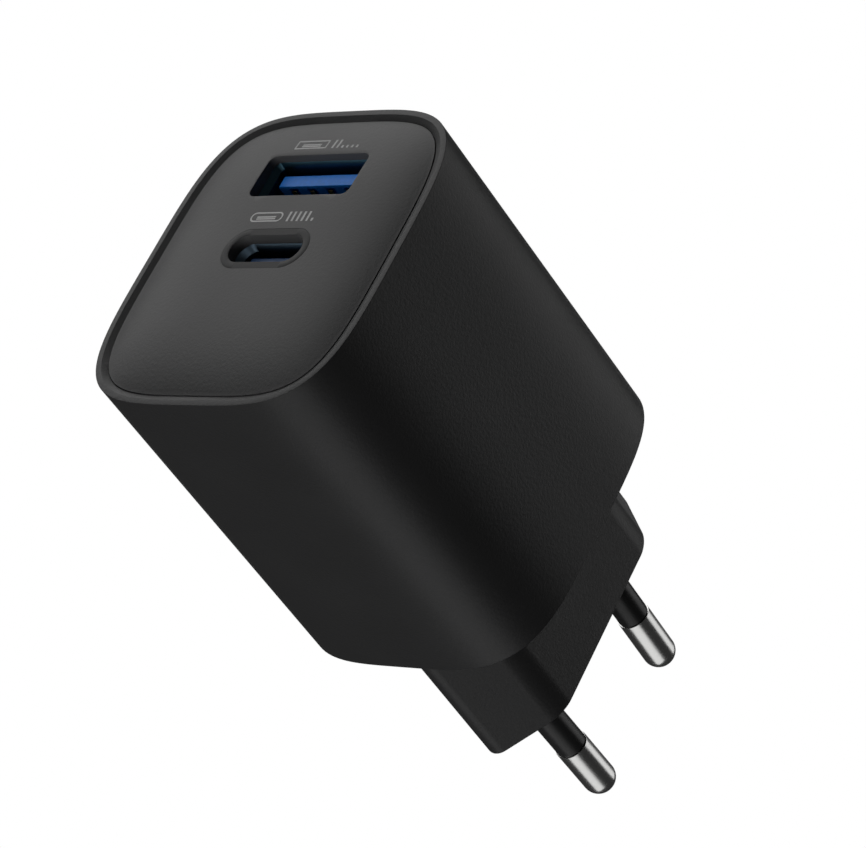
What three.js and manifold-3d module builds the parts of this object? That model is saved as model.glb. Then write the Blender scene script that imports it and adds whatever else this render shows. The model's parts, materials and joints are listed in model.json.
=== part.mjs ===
// Two-port USB wall charger with a fixed two-pin European plug.
// Millimetres, +Z up. The origin is the centre of the plug's front face, the face that meets the
// socket. +Y runs into the wall along the pins, and the USB ports face -Y, USB-A above USB-C.

import * as THREE from 'three';
import { mergeVertices } from 'three/addons/utils/BufferGeometryUtils.js';
import Module from 'manifold-3d';

const wasm = await Module();
wasm.setup();

// ---------------------------------------------------------------- driving dimensions
const GAP = 0.3;                    // clearance left between pieces that touch

const HOUSING_WIDTH = 34.24;        // across X
const HOUSING_HEIGHT = 39.9;        // across Z
const HOUSING_FRONT = -63.64;       // plane of the flat rim
const HOUSING_REAR = -19.0;         // shoulder behind the plug block
const CORNER_EXPONENT = 3.93;       // superellipse exponent of the soft-cornered section
const WALL = 1.8;
const REAR_WALL = 1.6;
const REAR_EDGE = 0.3;              // rounding of the shoulder's edge
const RIM_LAND = 0.69;              // flat ring at the mouth
const MOUTH_INSET = 1.43;           // inner edge of the mouth's bevel
const MOUTH_BEVEL_DEPTH = 0.28;
const COVER_LEDGE = -61.0;          // step inside the mouth that the cover sits on

const COVER_APEX = -64.64;          // highest point of the crowned port face
const COVER_CROWN = 1.14;           // fall of the crown from its middle to its edge
const COVER_CROWN_EXPONENT = 3.8;   // flat in the middle, falling faster near the edge
const COVER_THICKNESS = 1.35;
const COVER_EDGE_RADIUS = 0.1;
const COVER_TAB_END = -57.5;

const PLUG_HALF_WIDTH = 6.67;       // flat sides of the hexagonal plug block
const PLUG_FLAT_HALF_HEIGHT = 11.9; // where the 45 degree ends begin
const PLUG_NOSE_RADIUS = 1.65;
const PLUG_CORNER_RADIUS = 4.5;
const PLUG_WALL = 1.6;
const PLUG_FACE_WALL = 3.0;
const PLUG_FLANGE = [11.6, 15.8];   // half-sizes of the flange inside the housing
const PLUG_FLANGE_THICKNESS = 1.5;

const PIN_SPACING_BASE = 18.74;     // between the pin axes at the plug face
const PIN_SPACING_TIP = 17.8;       // the pins lean towards each other
const PIN_LENGTH = 19.05;
const PIN_RADIUS = 2.0;
const PIN_CORE_RADIUS = 1.2;
const PIN_TAIL_END = -20.3;
const SLEEVE_LENGTH = 10.43;
const SLEEVE_RADIUS = 1.9;
const SLEEVE_BURIED = 6.0;
const PIN_BOSS_RADIUS = 3.3;
const PIN_BOSS_END = -14.0;

const USB_A_HEIGHT = 10.26;         // centre of the USB-A port above the origin
const USB_A_OPENING = [13.7, 5.87];
const USB_A_SHELL = [13.1, 5.72];
const USB_A_TONGUE_WIDTH = 11.1;
const USB_A_TONGUE_THICKNESS = 1.78;
const USB_A_TONGUE_LIFT = 0.12;     // tongue's underside from the port's centre
const USB_A_TONGUE_FRONT = -62.55;
const USB_A_CONTACT_PITCH = 2.5;
const USB_A_SLOT_WIDTH = 1.2;
const USB_A_SLOT_DEPTH = 1.15;
const CONTACT_WIDTH = 0.6;
const CONTACT_THICKNESS = 0.2;
const CONTACT_HINGE = -52.9;        // where a contact beam leaves its fixed tail

const USB_C_COLLAR = [11.5, 5.34];
const USB_C_OPENING = [9.6, 3.6];
const USB_C_SHELL = [8.94, 3.2];
const USB_C_TONGUE = [6.69, 0.7];

const SHELL_THICKNESS = 0.3;        // stamped shells of both ports
const SHELL_FRONT = -62.9;
const USB_C_TONGUE_FRONT = -62.67;
const PORT_BOARD_FRONT = -49.6;
const PORT_BOARD = { width: 23.0, thickness: 1.0, height: 32.4 };
const MAIN_BOARD = { face: 7.0, thickness: 1.2, front: -47.9, rear: -23.2, height: 33.2 };

// ---------------------------------------------------------------- finishes
const finish = (color, roughness, metalness) => (
  new THREE.MeshStandardMaterial({ color, roughness, metalness })
);
const BLACK_PLASTIC = finish(0x1d1d1e, 0.55, 0);
const COVER_PLASTIC = finish(0x2b2b2c, 0.45, 0);
const COLLAR_PLASTIC = finish(0x242426, 0.5, 0);
const SLEEVE_PLASTIC = finish(0x131314, 0.4, 0);
const BLUE_PLASTIC = finish(0x1668d6, 0.35, 0);
const NICKEL = finish(0xc4c4c2, 0.2, 1);
const STEEL = finish(0xb0b4b8, 0.3, 1);
const GOLD_PLATE = finish(0xd8a848, 0.25, 1);
const COPPER = finish(0xb06a32, 0.35, 1);
const ALUMINIUM = finish(0xc8cacc, 0.35, 1);
const BOARD_LAMINATE = finish(0x14532d, 0.5, 0);
const FERRITE = finish(0x2a2a2d, 0.7, 0);
const TAPE_YELLOW = finish(0xd9b418, 0.5, 0);
const CHIP_EPOXY = finish(0x1a1a1c, 0.6, 0);
const CAN_SLEEVE = finish(0x20262e, 0.4, 0);
const CERAMIC_BLUE = finish(0x2f6fa8, 0.5, 0);
const BOX_RESIN = finish(0xb8b49a, 0.5, 0);
const PAD_GREY = finish(0x8f969c, 0.9, 0);
const CLEAR_FILM = finish(0xd8d4c4, 0.4, 0);

// ---------------------------------------------------------------- solids
function toSolid(geometry) {
  const bare = geometry.clone();
  bare.deleteAttribute('normal');
  bare.deleteAttribute('uv');
  const merged = mergeVertices(bare, 1e-5);
  return new wasm.Manifold(new wasm.Mesh({
    numProp: 3,
    vertProperties: new Float32Array(merged.attributes.position.array),
    triVerts: new Uint32Array(merged.index.array),
  }));
}

function toGeometry(solid) {
  const mesh = solid.getMesh();
  const geometry = new THREE.BufferGeometry();
  geometry.setAttribute('position', new THREE.BufferAttribute(mesh.vertProperties, 3));
  geometry.setIndex(new THREE.BufferAttribute(mesh.triVerts, 1));
  return geometry;
}

function cut(body, ...tools) {
  let solid = toSolid(body);
  for (const tool of tools) {
    solid = solid.subtract(toSolid(tool));
  }
  return toGeometry(solid);
}

function join(body, ...others) {
  let solid = toSolid(body);
  for (const other of others) {
    solid = solid.add(toSolid(other));
  }
  return toGeometry(solid);
}

function keep(body, region) {
  return toGeometry(toSolid(body).intersect(toSolid(region)));
}

// A box given by its limits along each axis.
function block([x0, x1], [y0, y1], [z0, z1]) {
  const geometry = new THREE.BoxGeometry(x1 - x0, y1 - y0, z1 - z0);
  geometry.translate((x0 + x1) / 2, (y0 + y1) / 2, (z0 + z1) / 2);
  return geometry;
}

// A section drawn in X and Z, swept along Y.
function sweepY(shape, yFrom, yTo, steps = 1) {
  const options = { depth: yTo - yFrom, bevelEnabled: false, steps, curveSegments: 6 };
  const geometry = new THREE.ExtrudeGeometry(shape, options);
  geometry.rotateX(Math.PI / 2);
  geometry.translate(0, yTo, 0);
  return geometry;
}

// A section swept along Y whose rings each have their own place and scale.
function sweepStations(shape, stations) {
  const last = stations.length - 1;
  const geometry = sweepY(shape, 0, last, last);
  const position = geometry.attributes.position;
  for (let i = 0; i < position.count; i += 1) {
    const station = stations[Math.round(position.getY(i))];
    position.setXYZ(i, position.getX(i) * station.scale, station.y, position.getZ(i) * station.scale);
  }
  return geometry;
}

// The housing's soft-cornered section, drawn inset from the outer wall.
function housingSection(inset, steps = 56) {
  const halfWidth = HOUSING_WIDTH / 2 - inset;
  const halfHeight = HOUSING_HEIGHT / 2 - inset;
  return softSection(halfWidth, halfHeight, steps);
}

function softSection(halfWidth, halfHeight, steps) {
  const points = [];
  for (let i = 0; i < steps; i += 1) {
    const angle = (2 * Math.PI * i) / steps;
    const across = Math.cos(angle);
    const up = Math.sin(angle);
    points.push(new THREE.Vector2(
      halfWidth * Math.sign(across) * Math.abs(across) ** (2 / CORNER_EXPONENT),
      halfHeight * Math.sign(up) * Math.abs(up) ** (2 / CORNER_EXPONENT),
    ));
  }
  return new THREE.Shape(points);
}

// A closed outline with each corner rounded by its own radius.
function roundedOutline(corners, radii) {
  const shape = new THREE.Shape();
  corners.forEach(([x, z], i) => {
    const before = new THREE.Vector2(...corners.at(i - 1));
    const here = new THREE.Vector2(x, z);
    const after = new THREE.Vector2(...corners[(i + 1) % corners.length]);
    const toBefore = before.clone().sub(here).normalize();
    const toAfter = after.clone().sub(here).normalize();
    const half = Math.acos(toBefore.dot(toAfter)) / 2;
    const reach = radii[i] / Math.tan(half);
    const start = here.clone().addScaledVector(toBefore, reach);
    const end = here.clone().addScaledVector(toAfter, reach);
    if (i === 0) {
      shape.moveTo(start.x, start.y);
    } else {
      shape.lineTo(start.x, start.y);
    }
    const middle = toBefore.clone().add(toAfter).normalize();
    const centre = here.clone().addScaledVector(middle, radii[i] / Math.sin(half));
    const from = Math.atan2(start.y - centre.y, start.x - centre.x);
    const to = Math.atan2(end.y - centre.y, end.x - centre.x);
    shape.absarc(centre.x, centre.y, radii[i], from, to, false);
  });
  shape.closePath();
  return shape;
}

function roundedRectangle(width, height, radius) {
  const x = width / 2;
  const z = height / 2;
  return roundedOutline([[x, -z], [x, z], [-x, z], [-x, -z]], Array(4).fill(radius));
}

// The plug block's hexagon, counter-clockwise from the lower right.
function plugSection(inset) {
  const x = PLUG_HALF_WIDTH - inset;
  const flat = PLUG_FLAT_HALF_HEIGHT - inset * Math.tan(Math.PI / 8);
  const nose = flat + x;
  const corners = [[x, -flat], [x, flat], [0, nose], [-x, flat], [-x, -flat], [0, -nose]];
  const side = Math.max(PLUG_CORNER_RADIUS - inset, 0.5);
  const end = Math.max(PLUG_NOSE_RADIUS - inset, 0.5);
  return roundedOutline(corners, [side, side, end, side, side, end]);
}

// A cylinder along Y.
function rod(radius, yFrom, yTo, segments = 20) {
  const geometry = new THREE.CylinderGeometry(radius, radius, yTo - yFrom, segments);
  geometry.translate(0, (yFrom + yTo) / 2, 0);
  return geometry;
}

function cylinderAlongX(radius, xFrom, xTo, segments = 24) {
  const geometry = rod(radius, -xTo, -xFrom, segments);
  geometry.rotateZ(Math.PI / 2);
  return geometry;
}

function lathe(profile, segments = 20) {
  const points = profile.map(([radius, y]) => new THREE.Vector2(radius, y));
  return new THREE.LatheGeometry(points, segments);
}

function moved(geometry, x, y, z) {
  return geometry.clone().translate(x, y, z);
}

// ---------------------------------------------------------------- the scene graph
const charger = new THREE.Group();

function add(group, name, geometry, material, position = [0, 0, 0]) {
  const mesh = new THREE.Mesh(geometry, material);
  mesh.name = name;
  mesh.position.set(...position);
  group.add(mesh);
  return mesh;
}

function newGroup(parent = charger, position = [0, 0, 0]) {
  const group = new THREE.Group();
  group.position.set(...position);
  parent.add(group);
  return group;
}

// ---------------------------------------------------------------- casing
const casing = newGroup();

function housingShell() {
  const halfWidth = HOUSING_WIDTH / 2;
  const edgeScale = (halfWidth - REAR_EDGE) / halfWidth;
  const midScale = (halfWidth - REAR_EDGE * 0.3) / halfWidth;
  const outer = sweepStations(housingSection(0), [
    { y: HOUSING_FRONT, scale: 1 },
    { y: HOUSING_REAR - REAR_EDGE, scale: 1 },
    { y: HOUSING_REAR - REAR_EDGE * 0.3, scale: midScale },
    { y: HOUSING_REAR, scale: edgeScale },
  ]);
  const landScale = (halfWidth - RIM_LAND) / halfWidth;
  const mouthScale = (halfWidth - MOUTH_INSET) / halfWidth;
  const mouth = sweepStations(housingSection(0), [
    { y: HOUSING_FRONT - 1, scale: landScale },
    { y: HOUSING_FRONT, scale: landScale },
    { y: HOUSING_FRONT + MOUTH_BEVEL_DEPTH, scale: mouthScale },
    { y: COVER_LEDGE, scale: mouthScale },
  ]);
  const cavity = sweepY(housingSection(WALL), COVER_LEDGE - 1, HOUSING_REAR - REAR_WALL);
  const plugHole = sweepY(plugSection(-GAP), HOUSING_REAR - REAR_WALL - 1, HOUSING_REAR + 1);
  return cut(outer, mouth, cavity, plugHole);
}
add(casing, 'housing_shell', housingShell(), BLACK_PLASTIC);

function frontCover() {
  const inset = MOUTH_INSET + GAP;
  const halfWidth = HOUSING_WIDTH / 2 - inset;
  const edge = COVER_APEX + COVER_CROWN + COVER_EDGE_RADIUS;
  const rim = (setback) => (halfWidth - setback) / halfWidth;
  const crownAt = (scale) => COVER_APEX + COVER_CROWN * scale ** COVER_CROWN_EXPONENT;
  const flatLand = 0.36;
  const stations = [{ y: COVER_LEDGE - GAP, scale: 1 }, { y: edge, scale: 1 }];
  for (const turn of [0.25, 0.5, 0.75]) {
    const angle = turn * Math.PI / 2;
    stations.push({
      y: edge - COVER_EDGE_RADIUS * Math.sin(angle),
      scale: rim(COVER_EDGE_RADIUS * (1 - Math.cos(angle))),
    });
  }
  for (const scale of [rim(COVER_EDGE_RADIUS), 0.95, 0.88, 0.8, 0.7, 0.55, flatLand]) {
    stations.push({ y: crownAt(scale), scale });
  }
  stations.reverse();
  const plate = sweepStations(housingSection(inset), stations);
  const back = COVER_APEX + COVER_THICKNESS;
  const hollow = sweepY(housingSection(inset + 1.6), back, COVER_LEDGE + 1);
  const usbAHole = sweepY(roundedRectangle(...USB_A_OPENING, 0.7), COVER_APEX - 1, back + 1);
  const collarHole = [USB_C_COLLAR[0] + 2 * GAP, USB_C_COLLAR[1] + 2 * GAP];
  const usbCHole = sweepY(roundedRectangle(...collarHole, collarHole[1] / 2 - 0.01),
    COVER_APEX - 1, back + 1);
  const cover = cut(plate, hollow, moved(usbAHole, 0, 0, USB_A_HEIGHT), usbCHole);
  const tabDepth = [COVER_LEDGE - 2 * GAP, COVER_TAB_END];
  const sideInset = HOUSING_WIDTH / 2 - WALL - GAP;
  const endInset = HOUSING_HEIGHT / 2 - WALL - GAP;
  return join(
    cover,
    block([-sideInset, -sideInset + 1], tabDepth, [-4, 4]),
    block([sideInset - 1, sideInset], tabDepth, [-4, 4]),
    block([-3, 3], tabDepth, [endInset - 1, endInset]),
    block([-3, 3], tabDepth, [-endInset, -endInset + 1]),
  );
}
add(casing, 'front_cover', frontCover(), COVER_PLASTIC);

function usbCCollar() {
  const ring = roundedRectangle(...USB_C_COLLAR, USB_C_COLLAR[1] / 2 - 0.01);
  ring.holes.push(roundedRectangle(...USB_C_OPENING, USB_C_OPENING[1] / 2 - 0.01));
  return sweepY(ring, COVER_APEX + 0.04, COVER_APEX + COVER_THICKNESS);
}
add(casing, 'usb_c_collar', usbCCollar(), COLLAR_PLASTIC);

// ---------------------------------------------------------------- plug
const plug = newGroup();
const pinLean = Math.atan((PIN_SPACING_BASE - PIN_SPACING_TIP) / 2 / PIN_LENGTH);

// Turns and moves a solid from the Y axis to the upper (+1) or lower (-1) pin's own axis.
function ontoPinAxis(geometry, side) {
  return geometry.clone().rotateX(-side * pinLean).translate(0, 0, side * PIN_SPACING_BASE / 2);
}

function plugBase() {
  const flangeTop = HOUSING_REAR - REAR_WALL - GAP;
  const flangeEnd = flangeTop - PLUG_FLANGE_THICKNESS;
  const body = sweepY(plugSection(0), flangeTop - 0.5, 0);
  const flange = sweepY(softSection(...PLUG_FLANGE, 40), flangeEnd, flangeTop);
  const pocket = sweepY(plugSection(PLUG_WALL), flangeEnd - 1, -PLUG_FACE_WALL);
  const hollow = cut(join(body, flange), pocket);
  const bosses = [1, -1].map((side) => (
    ontoPinAxis(rod(PIN_BOSS_RADIUS, PIN_BOSS_END, -PLUG_FACE_WALL + 0.5), side)
  ));
  const bores = [1, -1].flatMap((side) => [
    ontoPinAxis(rod(SLEEVE_RADIUS + GAP, -SLEEVE_BURIED - GAP, 1), side),
    ontoPinAxis(rod(PIN_CORE_RADIUS + GAP, PIN_BOSS_END - 1, 1), side),
  ]);
  return cut(join(hollow, ...bosses), ...bores);
}
add(plug, 'plug_base', plugBase(), BLACK_PLASTIC);

function pin() {
  const profile = [
    [0, PIN_TAIL_END],
    [PIN_CORE_RADIUS, PIN_TAIL_END],
    [PIN_CORE_RADIUS, SLEEVE_LENGTH + GAP],
    [PIN_RADIUS, SLEEVE_LENGTH + GAP],
  ];
  const noseSteps = 5;
  for (let i = 0; i <= noseSteps; i += 1) {
    const angle = (i / noseSteps) * Math.PI / 2;
    const radius = i === noseSteps ? 0 : PIN_RADIUS * Math.cos(angle);
    profile.push([radius, PIN_LENGTH - PIN_RADIUS + PIN_RADIUS * Math.sin(angle)]);
  }
  return lathe(profile);
}

function pinSleeve() {
  const bore = PIN_CORE_RADIUS + GAP;
  return lathe([
    [bore, -SLEEVE_BURIED],
    [SLEEVE_RADIUS, -SLEEVE_BURIED],
    [SLEEVE_RADIUS, SLEEVE_LENGTH],
    [bore, SLEEVE_LENGTH],
    [bore, -SLEEVE_BURIED],
  ]);
}

// A bent strip from a pin's tail across to the main board.
function pinContact() {
  const strip = new THREE.Shape();
  const boardSide = MAIN_BOARD.face - GAP;
  strip.moveTo(1.5, -16.0);
  strip.lineTo(1.9, -16.0);
  strip.lineTo(1.9, -24.2);
  strip.lineTo(boardSide, -24.2);
  strip.lineTo(boardSide, -24.6);
  strip.lineTo(1.5, -24.6);
  strip.closePath();
  const width = 3.0;
  const geometry = new THREE.ExtrudeGeometry(strip, { depth: width, bevelEnabled: false });
  return geometry.translate(0, 0, -width / 2);
}

for (const [place, side] of [['upper', 1], ['lower', -1]]) {
  const pinGroup = newGroup(plug, [0, 0, side * PIN_SPACING_BASE / 2]);
  pinGroup.rotation.x = -side * pinLean;
  add(pinGroup, `pin_${place}`, pin(), NICKEL);
  add(pinGroup, `pin_sleeve_${place}`, pinSleeve(), SLEEVE_PLASTIC);
  add(plug, `pin_contact_${place}`, pinContact(), COPPER, [0, 0, side * 9.85]);
}

// ---------------------------------------------------------------- USB-A port
const usbA = newGroup(charger, [0, 0, USB_A_HEIGHT]);
const portEnd = PORT_BOARD_FRONT - GAP;
const slotCentres = [-1.5, -0.5, 0.5, 1.5].map((place) => place * USB_A_CONTACT_PITCH);
const underside = USB_A_TONGUE_LIFT;
const tongueTop = underside + USB_A_TONGUE_THICKNESS;

function stampedShell([width, height], radius) {
  const outline = roundedRectangle(width, height, radius);
  const inner = radius - SHELL_THICKNESS;
  outline.holes.push(roundedRectangle(width - 2 * SHELL_THICKNESS, height - 2 * SHELL_THICKNESS, inner));
  return sweepY(outline, SHELL_FRONT, portEnd);
}
add(usbA, 'usb_a_shell', stampedShell(USB_A_SHELL, 0.7), STEEL);

function usbATongue() {
  const halfWidth = USB_A_TONGUE_WIDTH / 2;
  const chamfer = 0.35;
  const lowerChamfer = 0.12;
  const side = new THREE.Shape();
  const rootFront = -52.6;
  const rootHalf = USB_A_SHELL[1] / 2 - SHELL_THICKNESS - GAP;
  side.moveTo(USB_A_TONGUE_FRONT + lowerChamfer, underside);
  side.lineTo(rootFront, underside);
  side.lineTo(rootFront, -rootHalf);
  side.lineTo(portEnd, -rootHalf);
  side.lineTo(portEnd, rootHalf);
  side.lineTo(rootFront, rootHalf);
  side.lineTo(rootFront, tongueTop);
  side.lineTo(USB_A_TONGUE_FRONT + chamfer, tongueTop);
  side.lineTo(USB_A_TONGUE_FRONT, tongueTop - chamfer);
  side.lineTo(USB_A_TONGUE_FRONT, underside + lowerChamfer);
  side.closePath();
  const body = new THREE.ExtrudeGeometry(side, { depth: USB_A_TONGUE_WIDTH, bevelEnabled: false });
  // The profile is drawn in Y and Z, so it is stood up and spread across X.
  body.rotateY(Math.PI / 2);
  body.rotateX(Math.PI / 2);
  body.translate(-halfWidth, 0, 0);
  const slotFront = USB_A_TONGUE_FRONT + 0.41;
  const slots = slotCentres.map((x) => block(
    [x - USB_A_SLOT_WIDTH / 2, x + USB_A_SLOT_WIDTH / 2],
    [slotFront, portEnd + 1],
    [underside - 0.7, underside + USB_A_SLOT_DEPTH],
  ));
  return cut(body, ...slots);
}
add(usbA, 'usb_a_tongue', usbATongue(), BLUE_PLASTIC);

// A contact beam bows below the tongue, where the plug pushes it up into its slot.
function usbAContact() {
  const top = [
    [CONTACT_HINGE, underside + 0.45],
    [-58.4, underside + 0.05],
    [-60.3, underside - 0.5],
    [-61.8, underside + 0.1],
  ];
  return stripAlongY(top);
}

// A flat strip bent along a line in Y and Z, of the contacts' width and thickness.
function stripAlongY(line) {
  const shape = new THREE.Shape();
  line.forEach(([y, z], i) => {
    if (i === 0) {
      shape.moveTo(y, z);
    } else {
      shape.lineTo(y, z);
    }
  });
  for (const [y, z] of [...line].reverse()) {
    shape.lineTo(y, z - CONTACT_THICKNESS);
  }
  shape.closePath();
  const geometry = new THREE.ExtrudeGeometry(shape, { depth: CONTACT_WIDTH, bevelEnabled: false });
  geometry.rotateY(Math.PI / 2);
  geometry.rotateX(Math.PI / 2);
  return geometry.translate(-CONTACT_WIDTH / 2, 0, 0);
}

function usbATail() {
  return stripAlongY([[portEnd + 0.1, underside + 0.45], [CONTACT_HINGE + GAP, underside + 0.45]]);
}

slotCentres.forEach((x, i) => {
  add(usbA, `usb_a_contact_${i + 1}`, usbAContact(), GOLD_PLATE, [x, 0, 0]);
  add(usbA, `usb_a_tail_${i + 1}`, usbATail(), GOLD_PLATE, [x, 0, 0]);
});

// ---------------------------------------------------------------- USB-C port
const usbC = newGroup();
add(usbC, 'usb_c_shell', stampedShell(USB_C_SHELL, USB_C_SHELL[1] / 2 - 0.01), STEEL);

function usbCTongue() {
  const [width, thickness] = USB_C_TONGUE;
  const blade = block([-width / 2, width / 2], [USB_C_TONGUE_FRONT, portEnd], [-thickness / 2, thickness / 2]);
  const rootSize = USB_C_SHELL.map((size) => size - 2 * SHELL_THICKNESS - 2 * GAP);
  const root = sweepY(roundedRectangle(...rootSize, rootSize[1] / 2 - 0.01), -56.8, portEnd);
  return join(blade, root);
}
add(usbC, 'usb_c_tongue', usbCTongue(), BLUE_PLASTIC);

// ---------------------------------------------------------------- port board and its parts
const portSide = newGroup(charger, [0, PORT_BOARD_FRONT, 0]);
const boardBack = PORT_BOARD.thickness;

function portBoard() {
  const outline = roundedRectangle(PORT_BOARD.width, PORT_BOARD.height, 3);
  return sweepY(outline, 0, boardBack);
}
add(portSide, 'port_board', portBoard(), BOARD_LAMINATE);

const outputCan = { radius: 4.0, length: 11.2 };
[-5.2, 5.2].forEach((x, i) => {
  const can = rod(outputCan.radius, -GAP - outputCan.length, -GAP, 24);
  add(portSide, `output_capacitor_${i + 1}`, can, ALUMINIUM, [x, 0, -11.6]);
});
add(portSide, 'buck_inductor', block([-11, -5.8], [-3.3, -GAP], [-2.6, 2.6]), FERRITE);
add(portSide, 'usb_controller', block([6.0, 10.0], [-1.2, -GAP], [-2, 2]), CHIP_EPOXY);

// ---------------------------------------------------------------- main board and its parts
const mainSide = newGroup(charger, [MAIN_BOARD.face, 0, 0]);
const boardLimits = [MAIN_BOARD.front, MAIN_BOARD.rear];
const boardFar = MAIN_BOARD.thickness;
const tallFoot = -GAP;              // where parts on the tall side stand
const lowFoot = boardFar + GAP;     // where parts on the low side stand

add(mainSide, 'main_board', block([0, boardFar], boardLimits,
  [-MAIN_BOARD.height / 2, MAIN_BOARD.height / 2]), BOARD_LAMINATE);
add(mainSide, 'board_header', block([lowFoot, lowFoot + 2], [-48.3, -45.8], [-5, 5]), CHIP_EPOXY);

// Transformer: two E cores face to face on a wound bobbin, its axis square to the board.
const transformer = newGroup(mainSide, [tallFoot, -38.9, 0]);
const CORE = { half: 8.5, depth: 11.0, back: 2.6, outerLeg: 2.4, centreLeg: 3.2, legs: 5.7 };

function eCore() {
  const { half, back, outerLeg, centreLeg, legs } = CORE;
  const reach = back + legs;
  const shape = new THREE.Shape();
  shape.moveTo(0, -half);
  shape.lineTo(reach, -half);
  shape.lineTo(reach, -half + outerLeg);
  shape.lineTo(back, -half + outerLeg);
  shape.lineTo(back, -centreLeg);
  shape.lineTo(reach, -centreLeg);
  shape.lineTo(reach, centreLeg);
  shape.lineTo(back, centreLeg);
  shape.lineTo(back, half - outerLeg);
  shape.lineTo(reach, half - outerLeg);
  shape.lineTo(reach, half);
  shape.lineTo(0, half);
  shape.closePath();
  const geometry = new THREE.ExtrudeGeometry(shape, { depth: CORE.depth, bevelEnabled: false });
  return geometry.translate(0, 0, -CORE.depth / 2);
}
const coreHeight = 2 * (CORE.back + CORE.legs) + GAP;
add(transformer, 'transformer_core_a', eCore().rotateZ(Math.PI), FERRITE);
add(transformer, 'transformer_core_b', eCore(), FERRITE, [-coreHeight, 0, 0]);

// A rectangular frame in Y and Z, swept along X.
function frameAlongX([outerY, outerZ], [innerY, innerZ], [x0, x1]) {
  const outer = block([x0, x1], [-outerY, outerY], [-outerZ, outerZ]);
  return cut(outer, block([x0 - 1, x1 + 1], [-innerY, innerY], [-innerZ, innerZ]));
}

function bobbin() {
  const bore = [CORE.centreLeg + GAP, CORE.depth / 2 + GAP];
  const tube = [bore[0] + 0.6, bore[1] + 0.6];
  const flange = [CORE.half - CORE.outerLeg - GAP, 8.5];
  const ends = [-coreHeight + CORE.back + GAP, -CORE.back - GAP];
  return join(
    frameAlongX(tube, bore, ends),
    frameAlongX(flange, bore, [ends[0], ends[0] + 0.8]),
    frameAlongX(flange, bore, [ends[1] - 0.8, ends[1]]),
  );
}
add(transformer, 'transformer_bobbin', bobbin(), CHIP_EPOXY);

function winding() {
  const bore = [CORE.centreLeg + 1.2, CORE.depth / 2 + 1.2];
  const outside = [CORE.half - CORE.outerLeg - GAP, 8.2];
  const first = -coreHeight + CORE.back + 2 * GAP + 0.8;
  return frameAlongX(outside, bore, [first, -CORE.back - 2 * GAP - 0.8]);
}
add(transformer, 'transformer_winding', winding(), TAPE_YELLOW);

const bulkCan = { radius: 4.0, length: 15.0 };
[[-43.2, 13.1], [-34.6, 13.1], [-43.2, -13.1]].forEach(([y, z], i) => {
  const can = cylinderAlongX(bulkCan.radius, tallFoot - bulkCan.length, tallFoot);
  add(mainSide, `bulk_capacitor_${i + 1}`, can, CAN_SLEEVE, [0, y, z]);
});

const yDisc = rod(3.6, -1.6, 1.6, 24);
add(mainSide, 'y_capacitor', yDisc, CERAMIC_BLUE, [tallFoot - 4.4, -34.6, -13.1]);

// Mains filter between the pins and the transformer.
const filterRow = [-29.9, -25.1];
add(mainSide, 'x_capacitor', block([tallFoot - 12, tallFoot], filterRow, [-6, 6]), BOX_RESIN);
add(mainSide, 'fuse', block([tallFoot - 8, tallFoot], [-29.5, -25.5], [7.2, 15.4]), CHIP_EPOXY);

const CHOKE = { inner: 2.2, outer: 3.5, half: 1.3, wire: 0.8 };
const choke = newGroup(mainSide, [tallFoot - 4.9, -27.5, -11.4]);

function ringSolid(inner, outer, half) {
  return lathe([[inner, -half], [outer, -half], [outer, half], [inner, half], [inner, -half]], 32);
}
add(choke, 'choke_core', ringSolid(CHOKE.inner, CHOKE.outer, CHOKE.half), FERRITE);

function chokeWinding(side) {
  const skin = GAP + CHOKE.wire;
  const wound = ringSolid(CHOKE.inner - skin, CHOKE.outer + skin, CHOKE.half + skin);
  const hollow = ringSolid(CHOKE.inner - GAP, CHOKE.outer + GAP, CHOKE.half + GAP);
  const region = block(side > 0 ? [0.8, 6] : [-6, -0.8], [-4, 4], [-6, 6]);
  return keep(cut(wound, hollow), region);
}
add(choke, 'choke_winding_a', chokeWinding(1), COPPER);
add(choke, 'choke_winding_b', chokeWinding(-1), COPPER);

// Low parts on the board's other side.
const lowParts = [
  ['power_switch', [-40, -32], [-4, 4], 0.9],
  ['sync_rectifier', [-46.5, -41.5], [7, 13], 1.0],
  ['controller_chip', [-38, -34], [7, 12], 1.5],
  ['optocoupler', [-45.5, -41], [-13, -6.5], 2.2],
  ['bridge_rectifier', [-32, -25], [-13.5, -6.5], 1.6],
];
for (const [name, alongY, alongZ, height] of lowParts) {
  add(mainSide, name, block([lowFoot, lowFoot + height], alongY, alongZ), CHIP_EPOXY);
}

// ---------------------------------------------------------------- heat paths and insulation
const heat = newGroup();
const transformerTop = MAIN_BOARD.face + tallFoot - coreHeight;
const leftPad = [transformerTop - GAP - 1.0, transformerTop - GAP];
const rightPad = [11.0, 12.0];
add(heat, 'thermal_pad_left', block(leftPad, [-46, -32], [-5, 5]), PAD_GREY);
add(heat, 'thermal_pad_right', block(rightPad, [-44, -28], [-6, 6]), PAD_GREY);
add(heat, 'heat_spreader_left', block([leftPad[0] - GAP - 0.6, leftPad[0] - GAP],
  [-47, -25], [-10.5, 10.5]), ALUMINIUM);
add(heat, 'heat_spreader_right', block([rightPad[1] + GAP, rightPad[1] + GAP + 0.6],
  [-47, -24], [-11.5, 11.5]), ALUMINIUM);
add(heat, 'insulation_sheet', block([13.3, 13.6], [-48, -23.5], [-12.4, 12.4]), CLEAR_FILM);

export default charger;
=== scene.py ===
"""Finished look of a two-port USB wall charger with a flat two-pin European plug.

The moulded casing, the port face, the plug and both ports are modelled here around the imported
frame. The boards and their parts inside the closed casing keep their frame solids and are
given their finishes. Lengths are in metres, and the ports face -Y with the pins along +Y.
"""

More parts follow.
